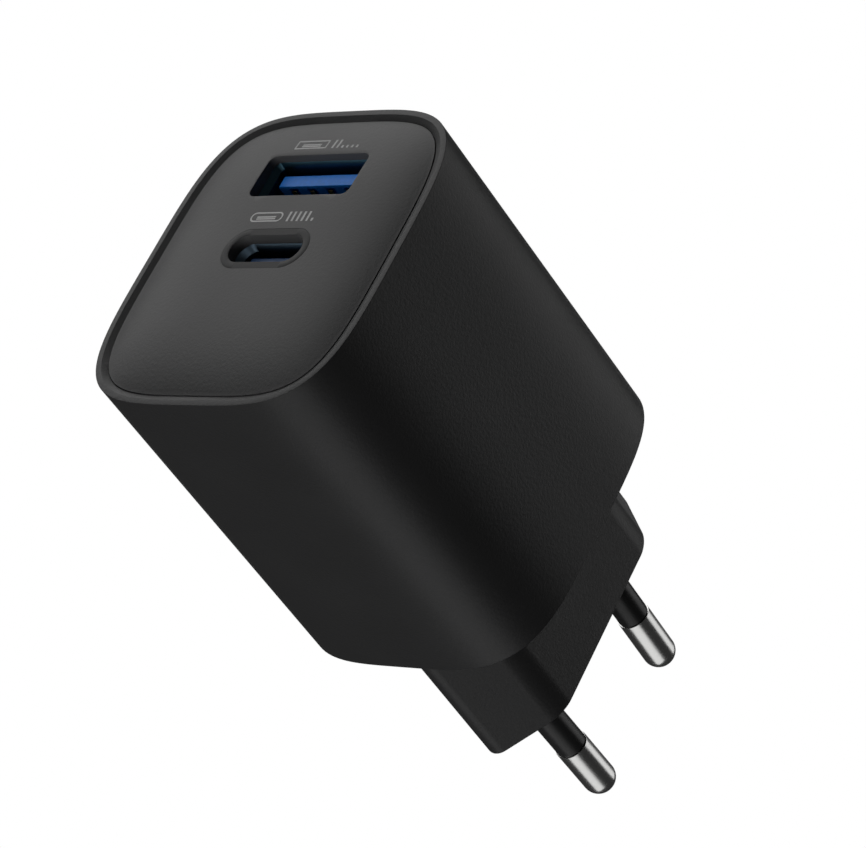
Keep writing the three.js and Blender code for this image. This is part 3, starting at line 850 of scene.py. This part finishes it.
def build_cover(housing, sizes):
    """The crowned face: a rounded edge, a shallow dome, two openings and a skirt behind."""
    outline_inset = housing.rim_land + housing.bevel_width + sizes.seam
    edge = COVER_LOW.y + sizes.crown + sizes.edge_radius
    cover = soft_block("port_cover", housing, edge, edge + 1 * MM)
    with editing(cover):
        pick_faces(facing_front)
        inset(outline_inset)
        bpy.ops.mesh.select_all(action="INVERT")
        bpy.ops.mesh.delete(type="FACE")
        bpy.ops.mesh.select_all(action="SELECT")
        extrude(y=COVER_BACK - edge)
    face_outwards(cover)
    with editing(cover):
        pick_faces(lambda middle, normal: normal.y < -0.9 and middle.y < edge + 0.1 * MM)
        round_over(sizes.edge_radius, 6)
        dome(sizes.crown, sizes.crown_exponent, 20)
        pick_faces(facing_rear)
        inset(1.3 * MM)
        extrude(y=COVER_LOW.y + sizes.thickness - COVER_BACK)
    width = sizes.opening_width / 2
    height = sizes.opening_height / 2
    centre = port_height()
    usb_a = rounded_bar(
        "usb_a_cutter", (-width, COVER_LOW.y - 1 * MM, centre - height),
        (width, COVER_BACK, centre + height), sizes.opening_radius, 8,
    )
    gap = Vector((0.015 * MM, 2 * MM, 0.015 * MM))
    usb_c = rounded_bar(
        "usb_c_cutter", COLLAR_LOW - gap, COLLAR_HIGH + gap,
        (COLLAR_HIGH.z + gap.z) * FULLY_ROUND, 16,
    )
    carve(cover, usb_a, usb_c)
    with editing(cover):
        pick_edges(
            lambda middle, run, fold: fold > 1.0 and abs(middle.x) < 7.5 * MM
            and middle.y < COVER_LOW.y + 0.6 * MM and middle.z > centre - height - 0.1 * MM
        )
        bevel(0.05 * MM, 2)
    return cover


def round_over(radius, steps):
    """Turns the selected face over a quarter round, ring by ring."""
    turns = [math.pi / 2 * step / steps for step in range(steps + 1)]
    for before, after in zip(turns, turns[1:]):
        inset(
            radius * (math.cos(before) - math.cos(after)),
            radius * (math.sin(after) - math.sin(before)),
        )


def dome(crown, exponent, rings):
    """Raises the selected face into a shallow dome of rings that shrink towards its middle."""
    scales = [1.0 - (ring / (rings + 0.6)) ** 1.3 for ring in range(rings + 1)]
    for before, after in zip(scales, scales[1:]):
        extrude(y=-crown * (before ** exponent - after ** exponent))
        resize(x=after / before, z=after / before)


def port_height():
    """Height of the USB-A port's centre above the origin."""
    return (USB_A_LOW.z + USB_A_HIGH.z) / 2


def rounded_bar(name, low, high, radius, steps):
    """A bar along Y with its four long edges rounded."""
    bar = add_block(name, low, high)
    with editing(bar):
        pick_edges(along_y)
        bevel(radius, steps)
        merge(0.02 * MM)
    return bar


def hollow_through(bar, wall):
    """Opens a bar along Y into a tube with walls of this thickness."""
    with editing(bar):
        pick_faces(lambda middle, normal: abs(normal.y) > 0.9)
        inset(wall)
        bpy.ops.mesh.bridge_edge_loops()


def build_collar(sizes):
    """The flush oval ring round the USB-C port."""
    collar = rounded_bar("usb_c_ring", COLLAR_LOW, COLLAR_HIGH, COLLAR_HIGH.z * FULLY_ROUND, 20)
    hollow_through(collar, sizes.collar_wall)
    with editing(collar):
        pick_edges(
            lambda middle, run, fold: near(middle.y, COLLAR_LOW.y) and fold > 1.0
        )
        bevel(0.03 * MM, 2)
    return collar


def print_on(cover, sign):
    """Lays a flat sign on the crowned face and gives the ink its thickness."""
    apply_modifier(
        sign, "SHRINKWRAP", wrap_method="PROJECT", target=cover, use_project_y=True,
        use_positive_direction=True, use_negative_direction=False, offset=0.006 * MM,
    )
    apply_modifier(sign, "SOLIDIFY", thickness=0.02 * MM, offset=0.0)
    face_outwards(sign)


def flat_bar(name, x_from, x_to, z_from, z_to):
    """A small flat bar in front of the port face, fine enough to follow its crown."""
    bpy.ops.object.select_all(action="DESELECT")
    bpy.ops.mesh.primitive_plane_add(
        size=1, location=((x_from + x_to) / 2, COVER_LOW.y - 1 * MM, (z_from + z_to) / 2),
        rotation=(math.pi / 2, 0, 0),
    )
    bar = bpy.context.object
    bar.scale = (x_to - x_from, z_to - z_from, 1)
    settle(bar, name)
    return bar


def outlined_bar(name, x_from, x_to, z_from, z_to, radius, stroke):
    """The outline of a port, as a ring of ink."""
    bar = flat_bar(name, x_from, x_to, z_from, z_to)
    with editing(bar):
        bpy.ops.mesh.select_all(action="SELECT")
        bpy.ops.mesh.bevel(
            offset=radius, segments=6, affect="VERTICES", offset_type="OFFSET",
        )
        bpy.ops.mesh.select_all(action="SELECT")
        inset(stroke)
        bpy.ops.mesh.delete(type="FACE")
    return bar


def build_sign(name, cover, sizes, height, radius, levels):
    """A port's outline with its tongue, beside a gauge with some of its bars raised."""
    half = sizes.mark_width / 2
    low = height - sizes.mark_height / 2
    high = height + sizes.mark_height / 2
    outline_end = -half + 4.4 * MM
    tongue_margin = 0.9 * MM
    stroke = 0.17 * MM
    bar_width = 0.26 * MM
    parts = [outlined_bar(name, -half, outline_end, low, high, radius, stroke)]
    for rise in (0.5, 0.3):
        level = low + rise * sizes.mark_height
        parts.append(flat_bar(
            name, -half + tongue_margin, outline_end - tongue_margin,
            level - stroke / 2, level + stroke / 2,
        ))
    first = outline_end + 0.75 * MM
    pitch = (half - first) / (GAUGE_BARS - 0.45)
    for place in range(GAUGE_BARS):
        x = first + place * pitch
        top = high if place < levels else low + 0.3 * sizes.mark_height
        parts.append(flat_bar(name, x, x + bar_width, low, top))
    sign = join_pieces(name, parts)
    print_on(cover, sign)
    return sign


# ---------------------------------------------------------------- plug
def plug_block(name, sizes, y_from, y_to, gap=0.0):
    """The hexagonal block with its blunt corners and rounded noses."""
    half = sizes.half_width + gap
    nose = sizes.flat_half_height + sizes.half_width + gap * math.sqrt(2)
    block = add_block(name, (-half, y_from, -nose), (half, y_to, nose))
    with editing(block):
        pick_edges(along_y)
        bevel(half)
        merge(0.01 * MM)
        pick_edges(lambda middle, run, fold: along_y(middle, run, fold) and near(middle.x, 0))
        bevel(sizes.nose_radius, 8)
        pick_edges(
            lambda middle, run, fold: along_y(middle, run, fold) and near(abs(middle.x), half)
        )
        bevel(sizes.corner_radius * math.tan(math.pi / 8), 10)
    return block


def build_plug_base(sizes):
    """The block, hollow from behind, with its flange and the two pin holes."""
    low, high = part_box("plug_base")
    flange_front = low.y + sizes.flange
    base = plug_block("plug_block", sizes, flange_front, high.y)
    nose = sizes.flat_half_height + sizes.half_width
    flange_nose = 15.8 * MM
    hollow_width = 0.4
    hollow_height = 0.62
    face_wall = 3 * MM
    with editing(base):
        pick_faces(facing_front)
        extrude()
        resize(x=high.x / sizes.half_width, z=flange_nose / nose)
        extrude(y=-sizes.flange)
        extrude()
        resize(x=hollow_width, z=hollow_height)
        extrude(y=high.y - face_wall - low.y)
        pick_edges(lambda middle, run, fold: near(middle.y, high.y) and fold > 1.0)
        bevel(sizes.face_edge, 4)
    lean = pin_lean(sizes)
    cutters = []
    for side in (1, -1):
        bore = add_rod("pin_bore", sizes.sleeve_radius + 0.05 * MM, -6 * MM, 2 * MM, 48)
        cutters.append(onto_pin_axis(bore, "pin_bore", sizes, lean, side))
    carve(base, *cutters)
    return base


def pin_lean(sizes):
    """How far each pin leans towards the other."""
    return math.atan((sizes.spacing - sizes.tip_spacing) / 2 / sizes.pin_length)


def onto_pin_axis(piece, name, sizes, lean, side):
    """Leans a piece on the Y axis and moves it to the upper (1) or lower (-1) pin's axis."""
    piece.rotation_euler = (-side * lean, 0, 0)
    piece.location = (0, 0, side * sizes.spacing / 2)
    return settle(piece, name)


def build_pin(sizes):
    """A turned pin: a core inside the sleeve, a shoulder and a round-nosed bare end."""
    pin = add_rod("pin", sizes.core_radius, PIN_LOW.y, sizes.sleeve_length)
    grow = sizes.pin_radius / sizes.core_radius
    with editing(pin):
        pick_faces(facing_rear)
        extrude()
        resize(x=grow, z=grow)
        extrude(y=sizes.pin_length - sizes.sleeve_length)
        pick_edges(lambda middle, run, fold: near(middle.y, sizes.pin_length) and fold > 1.0)
        bevel(sizes.pin_radius * 0.985, 16)
        pick_edges(
            lambda middle, run, fold: near(middle.y, sizes.sleeve_length)
            and math.hypot(middle.x, middle.z) > sizes.pin_radius * 0.99
        )
        bevel(0.06 * MM, 2)
    return pin


def build_sleeve(sizes):
    """The insulating sleeve, a tube with a softened end."""
    sleeve = add_rod("pin_sleeve", sizes.sleeve_radius, SLEEVE_LOW.y, sizes.sleeve_length)
    end = sizes.sleeve_length - 0.03 * MM
    with editing(sleeve):
        pick_faces(facing_rear)
        bpy.ops.transform.translate(value=(0, end - sizes.sleeve_length, 0))
    hollow_through(sleeve, sizes.sleeve_radius - sizes.core_radius - 0.02 * MM)
    with editing(sleeve):
        pick_edges(
            lambda middle, run, fold: near(middle.y, end) and fold > 1.0
            and math.hypot(middle.x, middle.z) > sizes.core_radius + 0.2 * MM
        )
        bevel(0.09 * MM, 3)
    return sleeve


# ---------------------------------------------------------------- ports
def build_port_shell(name, low, high, radius, sheet, steps, mouth):
    """A stamped shell: a rounded tube of thin sheet, whose mouth flares to meet the face."""
    bend = low.y + 0.25 * MM
    shell = rounded_bar(name, (low.x, bend, low.z), high, radius, steps)
    hollow_through(shell, sheet)
    centre = (low.z + high.z) / 2
    width = high.x - sheet
    height = high.z - centre - sheet
    with editing(shell):
        pick_faces(facing_front)
        extrude(y=low.y - 0.36 * MM - bend)
        resize(x=mouth[0] / 2 / width, z=mouth[1] / 2 / height, about=(0, 0, centre))
    return shell


def slot_places(pitch):
    """Where the four USB-A contacts lie across the tongue."""
    return [(index - 1.5) * pitch for index in range(4)]


def build_usb_a_tongue(sizes):
    """The blue tongue with its chamfered front, its root and four slots underneath."""
    root = -52.6 * MM
    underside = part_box("usb_a_tail_1")[1].z - 0.45 * MM
    top = underside + sizes.tongue_thickness
    centre = port_height()
    tongue = add_block(
        "usb_a_blade", (TONGUE_LOW.x, TONGUE_LOW.y, underside), (TONGUE_HIGH.x, root, top),
    )
    with editing(tongue):
        pick_faces(facing_rear)
        extrude()
        ratio = (TONGUE_HIGH.z - TONGUE_LOW.z) / (top - underside)
        resize(z=ratio, about=(0, root, (underside + top) / 2))
        lift = centre - (underside + top) / 2
        bpy.ops.transform.translate(value=(0, 0, lift))
        extrude(y=TONGUE_HIGH.y - root)
        pick_edges(
            lambda middle, run, fold: near(middle.y, TONGUE_LOW.y) and abs(run.x) > 0.9
            and middle.z > centre + 1 * MM
        )
        bevel(0.35 * MM, 1)
        pick_edges(
            lambda middle, run, fold: near(middle.y, TONGUE_LOW.y) and near(middle.z, underside)
        )
        bevel(0.1 * MM, 2)
        pick_edges(
            lambda middle, run, fold: abs(run.z) > 0.5 and middle.y < TONGUE_LOW.y + 0.5 * MM
            and abs(middle.x) > TONGUE_HIGH.x - 0.1 * MM
        )
        bevel(0.12 * MM, 2)
    width = sizes.slot_width / 2
    for place in slot_places(sizes.contact_pitch):
        slot = add_block(
            "slot", (place - width, TONGUE_LOW.y + sizes.slot_setback, underside - 0.7 * MM),
            (place + width, TONGUE_HIGH.y + 1 * MM, underside + 1.15 * MM),
        )
        carve(tongue, slot)
    return tongue


def contact_line(sizes, hinge, top):
    """Points along a contact's upper face, from its hinge to its turned-up tip."""
    rise = 0.4 * MM
    bow_start = -58.2 * MM
    bow_length = 3.7 * MM
    slope_end = Vector((0, bow_start, top - rise))
    points = [Vector((0, hinge, top)), slope_end]
    steps = 12
    for step in range(1, steps + 1):
        turn = step / steps
        dip = sizes.bow * (1 - math.cos(math.tau * turn)) / 2
        points.append(Vector((0, slope_end.y - bow_length * turn, slope_end.z - dip)))
    return points


def build_contact(sizes):
    """One gold-plated spring contact, bowed below the tongue."""
    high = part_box("usb_a_contact_1")[1]
    thickness = 0.2 * MM
    stub = 0.2 * MM
    half = sizes.contact_width / 2
    line = contact_line(sizes, high.y, high.z)
    start = line[0]
    contact = add_block(
        "contact", (-half, start.y - stub, start.z - thickness), (half, start.y, start.z),
    )
    with editing(contact):
        pick_faces(facing_front)
        here = Vector((0, start.y - stub, start.z))
        for point in line[1:]:
            step = point - here
            extrude(y=step.y, z=step.z)
            here = point
        pick_edges(lambda middle, run, fold: fold > 1.0)
        bevel(0.03 * MM, 2)
    return contact


def build_usb_c_tongue():
    """The thin blue tongue with its rounded edges and its root."""
    low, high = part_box("usb_c_tongue")
    half = 3.345 * MM
    thin = 0.35 * MM
    root = -56.8 * MM
    tongue = rounded_bar("usb_c_blade", (-half, low.y, -thin), (half, root, thin), 0.2 * MM, 4)
    with editing(tongue):
        pick_faces(facing_rear)
        extrude()
        resize(x=high.x / half, z=high.z / thin)
        extrude(y=high.y - root)
        pick_edges(lambda middle, run, fold: near(middle.y, low.y) and fold > 1.0)
        bevel(0.1 * MM, 3)
    return tongue


def build_usb_c_pads(sizes, side):
    """A row of twelve gold pads on one face of the USB-C tongue."""
    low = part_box("usb_c_tongue")[0]
    half = sizes.pad_width / 2
    face = 0.352 * MM * side
    lift = 0.03 * MM * side
    count = 12
    first = (1 - count) / 2 * sizes.pad_pitch
    front = low.y + 0.5 * MM
    back = low.y + 4.6 * MM
    z_from, z_to = sorted((face, face + lift))
    pad = add_block("pad", (first - half, front, z_from), (first + half, back, z_to))
    with editing(pad):
        pick_edges(along_y)
        bevel(0.01 * MM, 2)
    pads = [pad]
    for index in range(1, count):
        pads.append(duplicate(pad, "pad", (index * sizes.pad_pitch, 0, 0)))
    return join_pieces("usb_c_pads_top" if side > 0 else "usb_c_pads_bottom", pads)


# ---------------------------------------------------------------- operators
class CHARGER_OT_housing(bpy.types.Operator):
    """Builds the moulded tube"""

    bl_idname = "charger.housing"
    bl_label = "Housing"

    def execute(self, context):
        scene = context.scene
        housing = build_housing(scene.charger_housing, scene.charger_plug)
        smooth(housing, degrees=18.0)
        material = housing_finish(scene.charger_colours)
        complete(housing, material, "housing_plastic", "housing_shell")
        return {"FINISHED"}


class CHARGER_OT_port_face(bpy.types.Operator):
    """Builds the crowned port face, its oval ring and its printed signs"""

    bl_idname = "charger.port_face"
    bl_label = "Port face"

    def execute(self, context):
        scene = context.scene
        sizes = scene.charger_cover
        colours = scene.charger_colours
        cover = build_cover(scene.charger_housing, sizes)
        smooth(cover)
        complete(cover, cover_finish(colours), "cover_plastic", "front_cover")
        collar = build_collar(sizes)
        smooth(collar)
        complete(collar, collar_finish(colours), "collar_plastic", "usb_c_collar")
        # the openings' walls get a paler copy of the face's black, painted light
        walls = lit_opening_finish(colours)
        margin = 0.02 * MM
        width = sizes.opening_width / 2 + margin
        hole = COLLAR_HIGH.x - sizes.collar_wall + margin
        refinish(cover, walls, lambda middle, normal: abs(normal.y) < 0.5 and abs(middle.x) < width)
        refinish(collar, walls, lambda middle, normal: abs(normal.y) < 0.5 and abs(middle.x) < hole)
        ink = ink_finish(colours)
        # name, height on the face, corner radius of the outline, gauge bars that are raised
        signs = (
            ("usb_a_sign", sizes.usb_a_mark, 0.12 * MM, 2),
            ("usb_c_sign", sizes.usb_c_mark, 0.62 * MM, 5),
        )
        for name, height, radius, levels in signs:
            sign = build_sign(name, cover, sizes, height, radius, levels)
            complete(sign, ink, "cover_plastic")
        return {"FINISHED"}


class CHARGER_OT_plug(bpy.types.Operator):
    """Builds the plug block, the pins and their sleeves"""

    bl_idname = "charger.plug"
    bl_label = "Plug"

    def execute(self, context):
        scene = context.scene
        sizes = scene.charger_plug
        colours = scene.charger_colours
        lean = pin_lean(sizes)
        base = build_plug_base(sizes)
        smooth(base)
        complete(base, bpy.data.materials["housing_black"], "housing_plastic", "plug_base")
        kinds = (
            ("pin", build_pin(sizes), nickel_finish(colours), "nickel_plate"),
            ("pin_sleeve", build_sleeve(sizes), sleeve_finish(colours), "sleeve_plastic"),
        )
        for node, piece, material, slot in kinds:
            smooth(piece)
            copy = duplicate(piece, f"{node}_b")
            for part, side, place in ((piece, 1, "upper"), (copy, -1, "lower")):
                onto_pin_axis(part, f"{node}_{place}_finished", sizes, lean, side)
                complete(part, material, slot, f"{node}_{place}")
        return {"FINISHED"}


class CHARGER_OT_usb_a(bpy.types.Operator):
    """Builds the USB-A port's shell, tongue and contacts"""

    bl_idname = "charger.usb_a"
    bl_label = "USB-A port"

    def execute(self, context):
        scene = context.scene
        sizes = scene.charger_ports
        face = scene.charger_cover
        mouth = (face.opening_width, face.opening_height)
        shell = build_port_shell(
            "usb_a_can", USB_A_LOW, USB_A_HIGH, 0.7 * MM, sizes.sheet, 6, mouth,
        )
        smooth(shell)
        # the wide port's shell takes the dark teal steel: painted shade inside the port and a painted
        # reflection of its blue tongue
        steel = steel_finish()
        complete(shell, steel, "port_steel", "usb_a_shell")
        tongue = build_usb_a_tongue(sizes)
        smooth(tongue)
        blue = blue_finish("tongue_blue", tuple(scene.charger_colours.blue))
        complete(tongue, blue, "blue_plastic", "usb_a_tongue")
        gold = gold_finish()
        contact = build_contact(sizes)
        smooth(contact)
        for index, place in enumerate(slot_places(sizes.contact_pitch), start=1):
            copy = duplicate(contact, f"contact_spring_{index}", (place, 0, 0))
            complete(copy, gold, "gold_plate", f"usb_a_contact_{index}", body=f"contact_{index}")
        bpy.data.objects.remove(contact, do_unlink=True)
        return {"FINISHED"}


class CHARGER_OT_usb_c(bpy.types.Operator):
    """Builds the USB-C port's shell, tongue and pads"""

    bl_idname = "charger.usb_c"
    bl_label = "USB-C port"

    def execute(self, context):
        scene = context.scene
        sizes = scene.charger_ports
        radius = USB_C_HIGH.z * FULLY_ROUND
        wall = scene.charger_cover.collar_wall
        mouth = (2 * (COLLAR_HIGH.x - wall), 2 * (COLLAR_HIGH.z - wall))
        shell = build_port_shell(
            "usb_c_can", USB_C_LOW, USB_C_HIGH, radius, sizes.sheet, 12, mouth,
        )
        smooth(shell)
        # the oval port's shell gets its own dark teal tone: painted shade inside the port and a painted
        # reflection of its blue tongue
        steel = steel_finish("port_steel_painted_shade", (0.09, 0.13, 0.17))
        complete(shell, steel, "port_steel", "usb_c_shell")
        tongue = build_usb_c_tongue()
        smooth(tongue)
        blue = blue_finish("tongue_blue_grey", tuple(scene.charger_colours.blue_grey))
        complete(tongue, blue, "blue_plastic", "usb_c_tongue")
        for side in (1, -1):
            pads = build_usb_c_pads(sizes, side)
            smooth(pads)
            complete(pads, bpy.data.materials["contact_gold"], "gold_plate")
        return {"FINISHED"}


class CHARGER_OT_inside(bpy.types.Operator):
    """Gives the boards and their parts their finishes"""

    bl_idname = "charger.inside"
    bl_label = "Inside"

    def execute(self, context):
        slots = {part["node"]: part["material_slot"] for part in frame["record"]["subparts"]}
        materials = {slot: make() for slot, make in INNER_FINISHES.items()}
        for node, piece in frame["nodes"].items():
            if slots[node] in materials:
                piece.data.materials.clear()
                piece.data.materials.append(materials[slots[node]])
        return {"FINISHED"}


class CHARGER_OT_stage(bpy.types.Operator):
    """Sets up the floor, the lights and the camera"""

    bl_idname = "charger.stage"
    bl_label = "Stage"

    def execute(self, context):
        scene = context.scene
        settings = scene.charger_stage
        add_floor(settings)
        add_lights()
        light_world(scene)
        add_camera(scene, settings)
        scene.view_settings.view_transform = "Standard"
        scene.view_settings.look = "None"
        return {"FINISHED"}


# ---------------------------------------------------------------- stage
FLOOR_SIZE = 6
FLOOR_GLOW = (0.66, 0.7)
FLOOR_TONE = (0.78, 0.82)
BACKDROP_STRENGTH = 1.0
AMBIENT_STRENGTH = 0.03
VIEW_CENTRE = Vector((-11.52, -21.03, 11.8)) * MM


def grey(level):
    """A colour without a hue."""
    return (level, level, level)


def add_floor(settings):
    """A wide pale floor, far enough below to leave the view from underneath open.

    It glows evenly, and it casts no light on the charger.
    """
    bpy.ops.object.select_all(action="DESELECT")
    bpy.ops.mesh.primitive_plane_add(size=FLOOR_SIZE, location=(0, 0, -settings.floor_drop))
    floor = settle(bpy.context.object, "floor")
    finish = Finish("pale_floor", Emission_Strength=1.0)
    clouding = finish.noise(0.4, detail=2.0)
    finish.set("Emission Color", finish.mix(clouding, *map(grey, FLOOR_GLOW)))
    finish.set("Base Color", finish.mix(clouding, *map(grey, FLOOR_TONE)))
    finish.set("Roughness", 0.8 + 0.1 * clouding)
    floor.data.materials.append(finish.material)
    floor.visible_diffuse = False
    floor.visible_glossy = False


# name, direction from the charger, distance, width, height, radiance
LIGHTS = (
    ("key", (-0.6, -0.55, 0.6), 0.8, 0.7, 0.7, 1.8),
    ("fill", (0.1, -1.0, -0.1), 0.8, 0.5, 0.5, 0.5),
    ("below", (-0.2, -0.4, -0.9), 0.8, 0.5, 0.5, 4.0),
    ("rear_high", (0.4, 0.6, 0.7), 0.8, 0.4, 0.6, 1.0),
    ("rear_low", (0.2, 0.6, -0.8), 0.8, 0.8, 0.5, 1.0),
    ("rear_left", (-0.6, 0.6, 0.5), 0.8, 0.4, 0.5, 0.4),
)


def add_lights():
    """Soft rectangular lights aimed at the charger."""
    target = (CAD_BOUNDS[0] + CAD_BOUNDS[1]) / 2
    for name, direction, distance, width, height, radiance in LIGHTS:
        light = bpy.data.lights.new(name, "AREA")
        light.shape = "RECTANGLE"
        light.size = width
        light.size_y = height
        light.energy = radiance * math.pi * width * height
        lamp = bpy.data.objects.new(name, light)
        away = Vector(direction).normalized()
        lamp.location = target + away * distance
        lamp.rotation_euler = away.to_track_quat("Z", "Y").to_euler()
        lamp.visible_camera = False
        bpy.context.scene.collection.objects.link(lamp)


def light_world(scene):
    """White behind the charger, and a dimmer even light on it."""
    world = bpy.data.worlds.new("studio")
    world.use_nodes = True
    tree = world.node_tree
    tree.nodes.clear()
    path = tree.nodes.new("ShaderNodeLightPath")
    seen = tree.nodes.new("ShaderNodeBackground")
    felt = tree.nodes.new("ShaderNodeBackground")
    blend = tree.nodes.new("ShaderNodeMixShader")
    output = tree.nodes.new("ShaderNodeOutputWorld")
    seen.inputs["Color"].default_value = (1, 1, 1, 1)
    seen.inputs["Strength"].default_value = BACKDROP_STRENGTH
    felt.inputs["Color"].default_value = (1, 1, 1, 1)
    felt.inputs["Strength"].default_value = AMBIENT_STRENGTH
    tree.links.new(path.outputs["Is Camera Ray"], blend.inputs[0])
    tree.links.new(felt.outputs[0], blend.inputs[1])
    tree.links.new(seen.outputs[0], blend.inputs[2])
    tree.links.new(blend.outputs[0], output.inputs["Surface"])
    scene.world = world


def add_camera(scene, settings):
    """The camera, below the charger's horizon and rolled as a hand-held product shot is."""
    level = math.cos(settings.elevation)
    away = Vector((
        math.sin(settings.azimuth) * level,
        -math.cos(settings.azimuth) * level,
        math.sin(settings.elevation),
    ))
    data = bpy.data.cameras.new("camera")
    data.lens = settings.lens
    data.sensor_width = 36.0
    data.clip_start = 0.01
    data.clip_end = 20.0
    camera = bpy.data.objects.new("camera", data)
    turn = away.to_track_quat("Z", "Y").to_matrix() @ Matrix.Rotation(settings.roll, 3, "Z")
    camera.rotation_euler = turn.to_euler()
    camera.location = VIEW_CENTRE + away * settings.distance
    scene.collection.objects.link(camera)
    scene.camera = camera


# ---------------------------------------------------------------- panel and registration
STEPS = ("housing", "port_face", "plug", "usb_a", "usb_c", "inside", "stage")


class CHARGER_PT_panel(bpy.types.Panel):
    """The charger's sizes and build steps"""

    bl_label = "USB Wall Charger"
    bl_idname = "CHARGER_PT_panel"
    bl_space_type = "VIEW_3D"
    bl_region_type = "UI"
    bl_category = "Charger"

    def draw(self, context):
        for step in STEPS:
            self.layout.operator(f"charger.{step}")
        for group in PROPERTY_GROUPS:
            settings = getattr(context.scene, group)
            box = self.layout.box()
            for name in settings.bl_rna.properties.keys():
                if name not in ("rna_type", "name"):
                    box.prop(settings, name)


PROPERTY_GROUPS = {
    "charger_housing": HousingSizes,
    "charger_cover": CoverSizes,
    "charger_plug": PlugSizes,
    "charger_ports": PortSizes,
    "charger_colours": FinishColours,
    "charger_stage": StageSettings,
}

CLASSES = (
    *PROPERTY_GROUPS.values(),
    CHARGER_OT_housing,
    CHARGER_OT_port_face,
    CHARGER_OT_plug,
    CHARGER_OT_usb_a,
    CHARGER_OT_usb_c,
    CHARGER_OT_inside,
    CHARGER_OT_stage,
    CHARGER_PT_panel,
)


def register():
    """Registers the classes and hangs the property groups on the scene."""
    for item in CLASSES:
        bpy.utils.register_class(item)
    for name, group in PROPERTY_GROUPS.items():
        setattr(bpy.types.Scene, name, PointerProperty(type=group))


def unregister():
    """Takes the property groups and the classes away again."""
    for name in PROPERTY_GROUPS:
        delattr(bpy.types.Scene, name)
    for item in reversed(CLASSES):
        bpy.utils.unregister_class(item)


def main():
    """Builds every piece in order."""
    register()
    for step in STEPS:
        getattr(bpy.ops.charger, step)()


if __name__ == "__main__":
    main()
